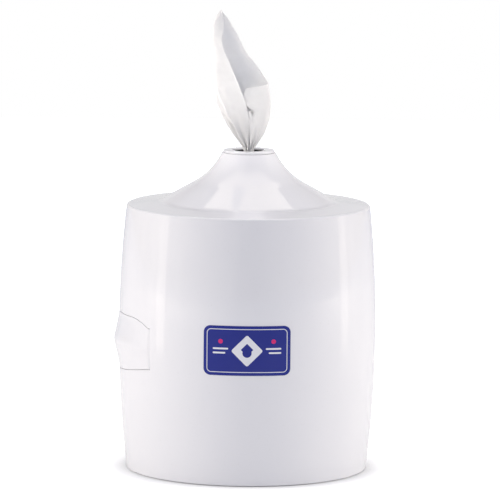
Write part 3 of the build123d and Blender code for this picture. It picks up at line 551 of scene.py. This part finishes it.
# %% Group: a drawn shape
print_shape = bpy.data.node_groups.new("print_shape", "ShaderNodeTree")
tree = print_shape
for label, kind in (("Vector", "NodeSocketVector"), ("Half width", "NodeSocketFloat"),
                    ("Half height", "NodeSocketFloat"), ("Roundness", "NodeSocketFloat")):
    tree.interface.new_socket(label, in_out="INPUT", socket_type=kind)
tree.interface.new_socket("Edge", in_out="OUTPUT", socket_type="NodeSocketFloat")
inlet = tree.nodes.new("NodeGroupInput")
outlet = tree.nodes.new("NodeGroupOutput")
parts = add_node(tree, "SeparateXYZ")
join(tree, inlet.outputs["Vector"], parts.inputs[0])
beyond = []
for axis, label in (("X", "Half width"), ("Z", "Half height")):
    straight = maths(tree, "SUBTRACT", inlet.outputs[label], inlet.outputs["Roundness"])
    beyond.append(maths(tree, "SUBTRACT", maths(tree, "ABSOLUTE", parts.outputs[axis]), straight))
outside = [maths(tree, "MAXIMUM", value, 0.0) for value in beyond]
squares = [maths(tree, "POWER", value, 2.0) for value in outside]
corner = maths(tree, "SQRT", maths(tree, "ADD", *squares))
inside = maths(tree, "MINIMUM", maths(tree, "MAXIMUM", *beyond), 0.0)
reach = maths(tree, "ADD", corner, inside)
join(tree, maths(tree, "SUBTRACT", reach, inlet.outputs["Roundness"]), outlet.inputs["Edge"])
print("group", print_shape.name)

# %% [markdown]
# With that shape the print is a list of places and sizes in metres, each mixed over the last.
# An edge a tenth of a millimetre soft keeps the print from looking cut out.

# %% Label print
LABEL_MIDDLE = (0.0, 0.0, 0.144)
PRINT_BLUE = (0.018, 0.028, 0.235)
PRINT_WHITE = (0.78, 0.79, 0.82)
PRINT_PINK = (0.66, 0.030, 0.175)
PRINT_FADED = (0.5, 0.5, 0.55)
SOFT_EDGE = 0.05 * MM
HALF_LINE = 0.35 * MM


def place_shape(tree, middle, half, roundness, turn=0.0):
    """The distance from the edge of a rounded rectangle, below zero inside it."""
    mapping = add_node(tree, "Mapping", vector_type="TEXTURE")
    mapping.inputs["Location"].default_value = (middle[0], 0.0, LABEL_MIDDLE[2] + middle[1])
    mapping.inputs["Rotation"].default_value = (0.0, turn, 0.0)
    join(tree, add_node(tree, "TexCoord").outputs["Object"], mapping.inputs["Vector"])
    shape = tree.nodes.new("ShaderNodeGroup")
    shape.node_tree = print_shape
    join(tree, mapping.outputs[0], shape.inputs["Vector"])
    shape.inputs["Half width"].default_value = half[0]
    shape.inputs["Half height"].default_value = half[1]
    shape.inputs["Roundness"].default_value = roundness
    return shape.outputs["Edge"]


def ink(tree, edge):
    """One where the distance is below zero, with an edge a tenth of a millimetre soft."""
    return ramp(tree, edge, SOFT_EDGE, -SOFT_EDGE, kind="LINEAR")


label_print, tree, shader = new_finish("label")
border = place_shape(tree, (0.0, 0.0), (0.0418, 0.0228), 0.0045)
off_line = maths(tree, "ABSOLUTE", maths(tree, "ADD", border, HALF_LINE))
ring = ink(tree, maths(tree, "SUBTRACT", off_line, HALF_LINE))
cloth = ink(tree, place_shape(tree, (0.0, 0.0), (0.0118, 0.0118), 0.002, math.pi / 4))
round_part = place_shape(tree, (0.0, -0.0022), (0.0048, 0.0048), 0.0048)
tip_part = place_shape(tree, (0.0, 0.0012), (0.0046, 0.0046), 0.0006, math.pi / 4)
drop = ink(tree, maths(tree, "MINIMUM", round_part, tip_part))
paint = mix_colours(tree, ring, PRINT_BLUE, PRINT_WHITE)
paint = mix_colours(tree, cloth, paint, PRINT_WHITE)
paint = mix_colours(tree, drop, paint, PRINT_BLUE)
for side in (-1, 1):
    bar = ink(tree, place_shape(tree, (side * 0.0290, -0.0022), (0.0065, 0.0009), 0.0009))
    long_bar = ink(tree, place_shape(tree, (side * 0.0275, 0.0022), (0.0080, 0.0009), 0.0009))
    dot = ink(tree, place_shape(tree, (side * 0.0275, 0.0098), (0.0024, 0.0024), 0.0024))
    paint = mix_colours(tree, bar, paint, PRINT_WHITE)
    paint = mix_colours(tree, long_bar, paint, PRINT_WHITE)
    paint = mix_colours(tree, dot, paint, PRINT_PINK)
place = add_node(tree, "TexCoord").outputs["Object"]
skin = use_effect(tree, moulded_skin, place, Grain_size=0.0004)
film = use_effect(tree, handling_film, place)
faded = maths(tree, "MULTIPLY", skin.outputs["Tone"], 0.015)
join(tree, mix_colours(tree, faded, paint, PRINT_FADED), shader.inputs["Base Color"])
smudged = maths(tree, "MULTIPLY", film.outputs["Smudge"], 0.1)
join(tree, maths(tree, "ADD", smudged, 0.16), shader.inputs["Roughness"])
shader.inputs["Specular IOR Level"].default_value = 0.25
raise_surface(tree, skin.outputs["Height"], 0.15, 0.00002, shader)
print("label ready")

# %% [markdown]
# ## Dressing the CAD parts
#
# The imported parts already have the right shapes, so they keep them and get the finishes. A part
# of the CAD model is never moved or edited, only its material slots are filled.

# %% Give each CAD part its finish
FINISH_OF = {
    "rear_housing": shell_plastic,
    "front_cover": shell_plastic,
    "latch_lever": shell_plastic,
    "nozzle_ring": nozzle_plastic,
    "nozzle_bracket": inner_plastic,
    "orifice_retainer": inner_plastic,
    "roll_tray": inner_plastic,
    "orifice_disc": soft_rubber,
    "front_label": label_print,
    "hinge_pin": zinc_steel,
    "latch_pin": zinc_steel,
    "keeper_plate": zinc_steel,
    "keeper_screws": zinc_steel,
    "bracket_screws": zinc_steel,
    "nozzle_screws": zinc_steel,
}
for part, finish in FINISH_OF.items():
    slots = nodes[part].material_slots
    for slot in slots:
        slot.material = finish
    print(part, "gets", finish.name, "in", len(slots), "slot")

# %% [markdown]
# ## The latch spring
#
# In the dispenser the lower leg of this torsion spring stays with the cover and the upper leg
# turns with the lever, so the wire winds up evenly between them when the latch is pulled. Here it
# is one wire along a helix.

# %% Wind the latch spring
PIVOT = Vector((-100.069, -85.467, 116.5))
PIVOT_TURN = Matrix.Rotation(math.radians(130.5), 3, "Z")
COIL_R, WIRE_R, LEG_BEND = 2.4, 0.4, 1.0
COIL_LOW, COIL_HIGH, LEG_LOW, LEG_HIGH = 1.525, 7.375, -3.1, 12.0
COIL_TURNS = 4.5
COIL_STEPS = 109
BEND_STEPS = 7

bend = [LEG_BEND * Vector((math.cos(a), math.sin(a))) for a in np.linspace(0, math.pi / 2, BEND_STEPS)]
wire = [Vector((LEG_BEND, -COIL_R, LEG_LOW))]
wire += [Vector((away, -COIL_R, COIL_LOW - LEG_BEND + up)) for away, up in bend]
for share in np.linspace(0, 1, COIL_STEPS)[1:-1]:
    angle = -math.pi / 2 - COIL_TURNS * 2 * math.pi * share
    height = COIL_LOW + (COIL_HIGH - COIL_LOW) * share
    wire.append(Vector((COIL_R * math.cos(angle), COIL_R * math.sin(angle), height)))
wire += [Vector((away, COIL_R, COIL_HIGH + LEG_BEND - up)) for away, up in reversed(bend)]
wire.append(Vector((LEG_BEND, COIL_R, LEG_HIGH)))

path = bpy.data.curves.new("torsion_spring", "CURVE")
path.dimensions = "3D"
path.bevel_depth = WIRE_R * MM
path.bevel_resolution = 3
path.use_fill_caps = True
line = path.splines.new("POLY")
line.points.add(len(wire) - 1)
for point, place in zip(line.points, wire):
    point.co = (*(MM * (PIVOT + PIVOT_TURN @ place)), 1)
spring = bpy.data.objects.new("torsion_spring", path)
bpy.context.collection.objects.link(spring)
bpy.context.view_layer.objects.active = spring
spring.select_set(True)
bpy.ops.object.convert(target="MESH")
bpy.ops.object.shade_smooth()
spring.select_set(False)
spring.data.materials.append(zinc_steel)
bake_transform(spring)
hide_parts("latch_spring")
print("latch spring:", len(spring.data.polygons), "faces")

# %% [markdown]
# ## Finishes of the soft goods
#
# The wipe's cloth lets some light through, so its shaded inside is grey, not black. Subsurface
# scattering does that for a thin sheet. The fibres come from the cloth's own UV map, which
# measures the flat sheet in metres, so the web bends with every fold.

# %% Cloth and film finishes
wipe_cloth, tree, shader = new_finish("fabric")
flat_place = add_node(tree, "UVMap", uv_map="flat_cloth").outputs["UV"]
web = use_effect(tree, nonwoven_web, flat_place)
fibres = mix_colours(tree, web.outputs["Fibre"], (0.85, 0.84, 0.83), (0.91, 0.905, 0.895))
join(tree, fibres, shader.inputs["Base Color"])
fuzz = maths(tree, "MULTIPLY", web.outputs["Fibre"], 0.15)
join(tree, maths(tree, "ADD", fuzz, 0.72), shader.inputs["Roughness"])
raise_surface(tree, web.outputs["Height"], 0.35, 0.00012, shader)
shader.inputs["Subsurface Weight"].default_value = 0.7
shader.inputs["Subsurface Radius"].default_value = (1.0, 1.0, 1.0)
shader.inputs["Subsurface Scale"].default_value = 0.004
shader.inputs["Sheen Weight"].default_value = 0.15
shader.inputs["Sheen Roughness"].default_value = 0.6
shader.inputs["Specular IOR Level"].default_value = 0.25

clear_film, tree, shader = new_finish("film")
place = add_node(tree, "TexCoord").outputs["Object"]
skin = use_effect(tree, moulded_skin, place, Grain_size=0.004, Wave_size=0.03)
film = use_effect(tree, handling_film, place, Patch_size=0.04)
milky = mix_colours(tree, skin.outputs["Tone"], (0.80, 0.85, 0.90), (0.90, 0.93, 0.96))
join(tree, milky, shader.inputs["Base Color"])
smudged = maths(tree, "MULTIPLY", film.outputs["Smudge"], 0.1)
join(tree, maths(tree, "ADD", smudged, 0.08), shader.inputs["Roughness"])
veil = maths(tree, "MULTIPLY", skin.outputs["Tone"], 0.2)
join(tree, maths(tree, "ADD", veil, 0.22), shader.inputs["Alpha"])
raise_surface(tree, skin.outputs["Height"], 0.4, 0.0006, shader)
print("soft finishes ready")

# %% [markdown]
# ## The standing wipe
#
# One wipe stands in the nozzle. It is a flat rectangle of cloth whose corner has been pulled up:
# the corner is the tip, one edge falls as the front flap, and the other runs down the right
# side. Lower down the cloth goes on round the front as a lighter flap with a level top, which
# meets the first at a V, and wraps on inside. Near the nozzle the whole width is gathered in
# pleats. A simulation would lose this pose, so the sheet is laid directly: each point of the
# flat cloth has a distance along its width and a height, and the outline at that height says
# where it stands. All of these sizes are in millimetres, with heights above the nozzle's top.

# %% Outline of the wipe, level by level
NOZZLE_TOP = 338.5
CLOTH_BOTTOM = -20.0
OUTLINE = (
    # height, left side, right side, depth behind, depth in front
    (-20, -5.2, 5.0, 5, 5),
    (-6, -5.2, 5.0, 5, 5),
    (0, -5.6, 5.2, 5, 5),
    (7.5, -10.2, 10.0, 7.5, 7.5),
    (20, -19.8, 17.3, 12, 12),
    (33, -27.3, 21.4, 16, 15),
    (42, -31.8, 22.3, 18, 15.5),
    (52, -35.0, 22.4, 18.5, 15),
    (65, -36.2, 21.1, 18, 13.5),
    (84, -37.9, 12.6, 15, 11.5),
    (103, -38.6, -1.5, 11.5, 9),
    (122, -39.5, -12.3, 8.5, 6.5),
    (131, -39.6, -18.0, 7, 5.2),
    (137, -37.4, -21.8, 5.5, 4.2),
    (143, -34.2, -26.3, 3.5, 2.8),
    (148, -31.2, -30.2, 1.0, 0.8),
)
LEVEL_HEIGHT, LEFT_SIDE, RIGHT_SIDE, BACK_DEPTH, FRONT_DEPTH = zip(*OUTLINE)


def smooth_curve(x, knots, values):
    """A cubic through the knots that never swings past them."""
    knots = np.asarray(knots, float)
    values = np.asarray(values, float)
    gaps = np.diff(knots)
    rises = np.diff(values) / gaps
    slopes = np.zeros_like(values)
    product = rises[:-1] * rises[1:]
    total = rises[:-1] + rises[1:]
    same_way = product > 0
    slopes[1:-1][same_way] = 2 * product[same_way] / total[same_way]
    slopes[0], slopes[-1] = rises[0], rises[-1]
    x = np.clip(x, knots[0], knots[-1])
    i = np.clip(np.searchsorted(knots, x) - 1, 0, len(gaps) - 1)
    t = (x - knots[i]) / gaps[i]
    start = values[i] * (2 * t**3 - 3 * t**2 + 1) + slopes[i] * gaps[i] * (t**3 - 2 * t**2 + t)
    end = values[i + 1] * (3 * t**2 - 2 * t**3) + slopes[i + 1] * gaps[i] * (t**3 - t**2)
    return start + end


def ease(x, low, high):
    """From 0 at low to 1 at high, smoothly."""
    t = np.clip((x - low) / (high - low), 0, 1)
    return t * t * (3 - 2 * t)


print("outline levels:", len(LEVEL_HEIGHT))

# %% [markdown]
# The cloth's top edge is a curve of height over width. Left of the V it is the outer turn, and
# right of it the cloth goes on inside the first turn. The free edge at the left is a flap that
# turns with height, a crease runs up the front, and the pleats fade out above the nozzle.

# %% Where a point of the flat cloth stands
TURN_WIDTH = 136.0
CLOTH_WIDTH = 203.0
V_WIDTH, V_HEIGHT = 132.0, 42
SHUT_ANGLE = -6
INNER_ANGLE = 225
FULL_WIDTH = 56
CURL_WIDTH = 5.0
EDGE_WIDTH = (0, 8, 103, 109, 117, 126, 129.5, 131.3, 132, 137, 150, 176, 203)
EDGE_HEIGHT = (148, 140.5, 71, 69.4, 67.6, 66, 60, 50, 42.0, 41.6, 40, 37, 34)
V_INDEX = EDGE_WIDTH.index(V_WIDTH)
PLEATS = 15
PLEAT_HEIGHT = (-20, 0, 7.5, 15, 25, 35, 50, 70, 90, 150)
PLEAT_DEPTH = (3.2, 3.0, 1.9, 0.9, 0.45, 0.25, 0.15, 0.1, 0, 0)
FLAP_HEIGHT = (-20, 42, 61, 76, 93, 109, 116, 125, 135, 148)
FLAP_ANGLE = (-6, -6, 1.4, 7.7, 13, 18.4, 19, 7, -10, -25)
CREASE_HEIGHT = (-20, 5, 21, 37, 53, 64, 150)
CREASE_ANGLE = (38, 38, 36, 42, 48, 63, 75)
LIP_HEIGHT = (42, 44.5, 48, 54, 60, 64, 66, 67.6, 69.4, 71, 74, 148)
LIP_ANGLE = (343.4, 352, 358, 359.5, 358, 354, 350, 327, 298, 276, 270, 270)


def angle_on_cloth(width, height):
    """Degrees round the axis from the front, first to the left; over 360 is the inner turn."""
    free = smooth_curve(height, FLAP_HEIGHT, FLAP_ANGLE)
    last_angle = smooth_curve(height, LIP_HEIGHT, LIP_ANGLE)
    last_width = np.interp(height, EDGE_HEIGHT[V_INDEX::-1], EDGE_WIDTH[V_INDEX::-1])
    last_width = np.maximum(last_width, 0.5)
    open_angle = free + (last_angle - free) * np.minimum(width / last_width, 1.0)
    shut_angle = SHUT_ANGLE + 360 * width / TURN_WIDTH
    outer = np.where((height > V_HEIGHT) & (width < V_WIDTH), open_angle, shut_angle)
    inner_share = (width - TURN_WIDTH) / (CLOTH_WIDTH - TURN_WIDTH)
    inner = SHUT_ANGLE + 360 + INNER_ANGLE * inner_share
    return np.where(width > TURN_WIDTH, inner, outer)


def pleats_at(turn, height):
    """How far the pleats draw the cloth inwards."""
    wander = 0.5 * np.sin(2 * turn + 0.7) + 0.35 * np.sin(5 * turn + 2.1)
    valley = ((1 + np.cos(PLEATS * turn + 2.0 * wander)) / 2) ** 2.2
    deep = 1 + 0.25 * np.sin(3 * turn + 1.0)
    return smooth_curve(height, PLEAT_HEIGHT, PLEAT_DEPTH) * valley * deep


def crease_at(degrees, height):
    """How far the crease lifts the cloth: a ridge with a groove beside it."""
    crease = smooth_curve(height, CREASE_HEIGHT, CREASE_ANGLE)
    strength = ease(height, 2, 14) * (1 - ease(height, 60, 76))
    ridge = 1.3 * np.exp(-(((degrees - crease) / 6.0) ** 2))
    groove = 1.1 * np.exp(-(((degrees - crease - 17) / 10.0) ** 2))
    return strength * (ridge - groove)


def wipe_point(width, height):
    """Where the point of the flat cloth stands, in millimetres."""
    left = smooth_curve(height, LEVEL_HEIGHT, LEFT_SIDE)
    right = smooth_curve(height, LEVEL_HEIGHT, RIGHT_SIDE)
    back = smooth_curve(height, LEVEL_HEIGHT, BACK_DEPTH)
    front = smooth_curve(height, LEVEL_HEIGHT, FRONT_DEPTH)
    degrees = angle_on_cloth(width, height)
    turn = np.radians(degrees)
    roomy = (right - left) / FULL_WIDTH
    under = 0.5 + 1.3 * ease(height, 20, 46)
    inner_gap = under * ease(degrees, 315, 366) + 5.0 * roomy * ease(degrees, 380, 575)
    inward = pleats_at(turn, height) * (1 - 0.35 * ease(degrees, 340, 372)) + inner_gap
    inward = inward - crease_at(degrees, height)
    curl = ease(height, 46, 62) * (1 - ease(height, 128, 140))
    inward = inward - curl * np.clip(1 - width / CURL_WIDTH, 0, 1) ** 2
    middle = (left + right) / 2
    x = middle - np.maximum((right - left) / 2 - inward, 0.3) * np.sin(turn)
    depth = np.where(np.cos(turn) > 0, front, back)
    y = -np.maximum(depth - inward, 0.3) * np.cos(turn)
    return x, y, height + NOZZLE_TOP


tip = wipe_point(np.zeros(1), np.full(1, EDGE_HEIGHT[0]))
print("tip stands at", [round(float(v[0]), 1) for v in tip])

# %% [markdown]
# The grid follows the cloth: columns across its width, rows from the bottom up to the top edge.
# A slow noise adds the small dents that damp cloth has. The sheet gets its thickness from a
# Solidify modifier, which is then applied.

# %% Lay the wipe
COLUMNS = 300
EDGE_COLUMNS = 30
EDGE_STRIP = 14
ROWS = 120
WIPE_THICKNESS = 0.45


def grid_faces(columns, rows):
    """Quads of a grid whose points are numbered row by row."""
    first = np.arange(columns - 1)[None, :] + np.arange(rows - 1)[:, None] * columns
    first = first.ravel()
    return np.stack([first, first + 1, first + columns + 1, first + columns], axis=1)


def dents(points, size, seed):
    """A slow noise at each point, from about -0.5 to 0.5."""
    offset = Vector((seed * 7.3, seed * 3.1, seed * 5.7))
    return np.array([noise.noise(Vector(p) / size + offset) for p in points])


def cloth_object(name, points, faces, flat_places):
    """A smooth mesh of points in millimetres, with its UV in metres of flat cloth."""
    mesh = bpy.data.meshes.new(name)
    mesh.from_pydata((points * MM).tolist(), [], faces.tolist())
    layer = mesh.uv_layers.new(name="flat_cloth")
    corners = np.empty(len(mesh.loops), int)
    mesh.loops.foreach_get("vertex_index", corners)
    layer.data.foreach_set("uv", (flat_places[corners] * MM).ravel())
    mesh.polygons.foreach_set("use_smooth", [True] * len(mesh.polygons))
    piece = bpy.data.objects.new(name, mesh)
    bpy.context.collection.objects.link(piece)
    return piece


def sheet_from_grid(name, points, columns, rows, flat_places, thickness):
    """A sheet of cloth or film on a grid of points, with its thickness in millimetres."""
    piece = cloth_object(name, points, grid_faces(columns, rows), flat_places)
    solid = piece.modifiers.new("thickness", "SOLIDIFY")
    solid.thickness = thickness * MM
    solid.offset = 0.0
    solid.use_rim = True
    bpy.ops.object.select_all(action="DESELECT")
    bpy.context.view_layer.objects.active = piece
    piece.select_set(True)
    bpy.ops.object.modifier_apply(modifier=solid.name)
    piece.select_set(False)
    print(name, "has", len(piece.data.polygons), "faces")
    return piece


edge_widths = np.linspace(0, EDGE_STRIP, EDGE_COLUMNS)
other_widths = np.linspace(EDGE_STRIP, CLOTH_WIDTH, COLUMNS - EDGE_COLUMNS + 1)
widths = np.concatenate([edge_widths, other_widths[1:]])
tops = smooth_curve(widths, EDGE_WIDTH, EDGE_HEIGHT)
share = np.linspace(0, 1, ROWS)[:, None]
width_grid = np.repeat(widths[None, :], ROWS, axis=0)
height_grid = CLOTH_BOTTOM + share * (tops[None, :] - CLOTH_BOTTOM)
points = np.stack(wipe_point(width_grid, height_grid), axis=-1).reshape(-1, 3)
loose = ease(height_grid, 4, 40).ravel()
shift = dents(points, 14.0, 1) * 1.5 + dents(points, 6.0, 2) * 0.5
points[:, 1] += shift * loose
points[:, 0] += dents(points, 17.0, 3) * 0.8 * loose
flat_places = np.stack([width_grid.ravel(), height_grid.ravel()], axis=-1)
wipe = sheet_from_grid("wipe", points, len(widths), ROWS, flat_places, WIPE_THICKNESS)
wipe.data.materials.append(wipe_cloth)
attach(wipe, "housing")
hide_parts("wipe_sheet")

# %% [markdown]
# ## The strand inside
#
# Below the disc the same cloth is a narrow rope: the full width drawn together in deep pleats.
# It leaves the side of the roll's core and climbs to the disc. Its section is a star whose
# points are the pleats, carried along a smooth path, with a slow twist.

# %% Lay the strand
STRAND_LOW = 149.5
STRAND_HIGH = 317.6
STRAND_PLEATS = 21
STRAND_THICKNESS = 0.25
CORE_SIDE = 16.5


def strand_middle(height):
    """Where the strand's middle is at a height, in millimetres."""
    return CORE_SIDE * (1 - ease(height, 200, 270) * 0.5 - ease(height, 205, 266) * 0.5)


around = np.linspace(0, 2 * np.pi, STRAND_PLEATS * 16 + 1)
up = np.linspace(STRAND_LOW, STRAND_HIGH, 120)
turn_grid, height_grid = np.meshgrid(around, up)
pinch = 1 - 0.12 * ease(height_grid, 300, 316)
fold = ((1 + np.cos(STRAND_PLEATS * turn_grid)) / 2) ** 0.8
radius = (1.5 + 3.5 * fold * (1 + 0.10 * np.sin(3 * turn_grid + height_grid / 19))) * pinch
twist = turn_grid + 0.5 * np.sin(height_grid / 31)
x = strand_middle(height_grid) + radius * np.cos(twist)
points = np.stack([x, radius * np.sin(twist), height_grid], axis=-1).reshape(-1, 3)
flat_places = np.stack([turn_grid.ravel() * CLOTH_WIDTH / (2 * np.pi), height_grid.ravel()], axis=-1)
strand = sheet_from_grid("strand", points, len(around), len(up), flat_places, STRAND_THICKNESS)
strand.data.materials.append(wipe_cloth)
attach(strand, "housing")
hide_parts("wipe_strand")

# %% [markdown]
# ## The roll
#
# The refill is one long band of wipes wound round an open core. Its end faces show the turns
# as fine ridges, each of which stands for a few turns of the thin band, and its side is soft and
# a little uneven. The shape is a profile turned round the axis, with ridges that follow a
# spiral, so it looks wound, not turned on a lathe.

# %% Wind the roll
ROLL_LOW, ROLL_HIGH = 5.9, 208.6
CORE_R, ROLL_R = 22.2, 117.0
TURN_PITCH = 2.5
EDGE_R = 3.0
END_ROUND = 12
SPOKES = 168
END_STEPS = 191
SIDE_STEPS = 40

ends = np.linspace(CORE_R, ROLL_R, END_STEPS)
side_up = np.linspace(ROLL_LOW, ROLL_HIGH, SIDE_STEPS + 2)[1:-1]
outside_r, inside_r = np.full(SIDE_STEPS, ROLL_R), np.full(SIDE_STEPS, CORE_R)
base_z, top_z = np.full(END_STEPS, ROLL_LOW), np.full(END_STEPS, ROLL_HIGH)
profile_r = np.concatenate([ends, outside_r, ends[::-1], inside_r])
profile_z = np.concatenate([base_z, side_up, top_z, side_up[::-1]])
rings = len(profile_r)
spoke_turns = np.linspace(0, 2 * np.pi, SPOKES, endpoint=False)
r_grid = np.repeat(profile_r[:, None], SPOKES, axis=1)
z_grid = np.repeat(profile_z[:, None], SPOKES, axis=1)
turn_grid = np.repeat(spoke_turns[None, :], rings, axis=0)
wound = r_grid / TURN_PITCH - turn_grid / (2 * np.pi)
ridge = np.abs(np.sin(np.pi * wound))
uneven = 0.5 + 0.5 * np.sin(np.floor(wound) * 2.4)
past_edge = np.maximum(r_grid - (ROLL_R - EDGE_R), 0) / EDGE_R
edge_round = EDGE_R * (1 - np.sqrt(np.clip(1 - past_edge ** 2, 0, 1)))
on_top = z_grid > ROLL_HIGH - 1
on_base = z_grid < ROLL_LOW + 1
on_side = ~on_top & ~on_base & (r_grid > (CORE_R + ROLL_R) / 2)
sink = (1 - ridge) * 0.9 + uneven * 0.5
z_grid = np.where(on_top, z_grid - sink - edge_round, z_grid)
z_grid = np.where(on_base, z_grid + sink * 0.5 + edge_round, z_grid)
from_base = ease(z_grid, ROLL_LOW, ROLL_LOW + END_ROUND)
from_top = 1 - ease(z_grid, ROLL_HIGH - END_ROUND, ROLL_HIGH)
wavy = 0.35 * np.sin(3 * turn_grid + z_grid / 30) + 0.25 * np.sin(z_grid / 4.0 + 2 * turn_grid)
r_grid = np.where(on_side, r_grid - np.minimum(from_base, from_top) * (0.7 + wavy), r_grid)
x, y = r_grid * np.cos(turn_grid), r_grid * np.sin(turn_grid)
points = np.stack([x, y, z_grid], axis=-1).reshape(-1, 3)

ring_at = np.arange(rings)[:, None] * SPOKES
next_ring = np.roll(np.arange(rings), -1)[:, None] * SPOKES
spoke = np.arange(SPOKES)[None, :]
next_spoke = (spoke + 1) % SPOKES
quads = [ring_at + spoke, next_ring + spoke, next_ring + next_spoke, ring_at + next_spoke]
roll_faces = np.stack([quad.ravel() for quad in quads], axis=1)
flat_places = np.stack([turn_grid.ravel() * ROLL_R, (z_grid + r_grid).ravel()], axis=-1)
roll = cloth_object("roll", points, roll_faces, flat_places)
roll.data.materials.append(wipe_cloth)
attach(roll, "housing")
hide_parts("wipes_roll")
print("roll has", len(roll.data.polygons), "faces")

# %% [markdown]
# ## The bag
#
# The roll comes in a bag of clear film. It hugs the roll and is drawn in above it to a mouth
# that the strand climbs through. The film is a thin surface with a row of gathers on its
# shoulder and shallow wrinkles on its side, and its finish is mostly transparent.

# %% Shape the bag
BAG_LOW, BAG_SIDE_TOP, BAG_MOUTH = 5.25, 209.3, 234.8
BAG_R, MOUTH_R = 118.1, 34.4
GATHERS = 34
FILM_THICKNESS = 0.2

rise = np.concatenate([np.linspace(0, 1, 60), np.linspace(1, 2, 46)[1:]])
bag_turns = np.linspace(0, 2 * np.pi, GATHERS * 10 + 1)
turn_grid, rise_grid = np.meshgrid(bag_turns, rise)
side_share = np.clip(rise_grid, 0, 1)
cone_share = np.clip(rise_grid - 1, 0, 1)
radius = BAG_R + (MOUTH_R - BAG_R) * cone_share
height = BAG_LOW + (BAG_SIDE_TOP - BAG_LOW) * side_share
height = height + (BAG_MOUTH - BAG_SIDE_TOP) * cone_share ** 1.08
wander = 0.4 * np.sin(3 * turn_grid) + 0.3 * np.sin(7 * turn_grid + 1.0)
gather = np.cos(GATHERS * turn_grid + 2 * wander)
gather = gather * 1.1 * ease(cone_share, 0.05, 0.6) * (1 - 0.9 * ease(cone_share, 0.9, 1.0))
height = height + gather
wrinkle = 0.45 * np.sin(5 * turn_grid + height / 9) * np.sin(2 * turn_grid - height / 23)
radius = radius + wrinkle * ease(side_share, 0.08, 0.3) * (1 - cone_share)
x, y = radius * np.cos(turn_grid), radius * np.sin(turn_grid)
points = np.stack([x, y, height], axis=-1).reshape(-1, 3)
flat_places = np.stack([turn_grid.ravel() * BAG_R, height.ravel()], axis=-1)
bag = sheet_from_grid("film_bag", points, len(bag_turns), len(rise), flat_places, FILM_THICKNESS)
bag.data.materials.append(clear_film)
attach(bag, "housing")
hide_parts("refill_bag")

# %% [markdown]
# ## The dressed model's box
#
# The box round every shown piece except the floor is printed. The dressed model must
# stay in the CAD model's box.

# %% Print the visual box
bpy.ops.object.select_all(action="DESELECT")
low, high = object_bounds()
print("visual box from", tuple(low), "to", tuple(high))
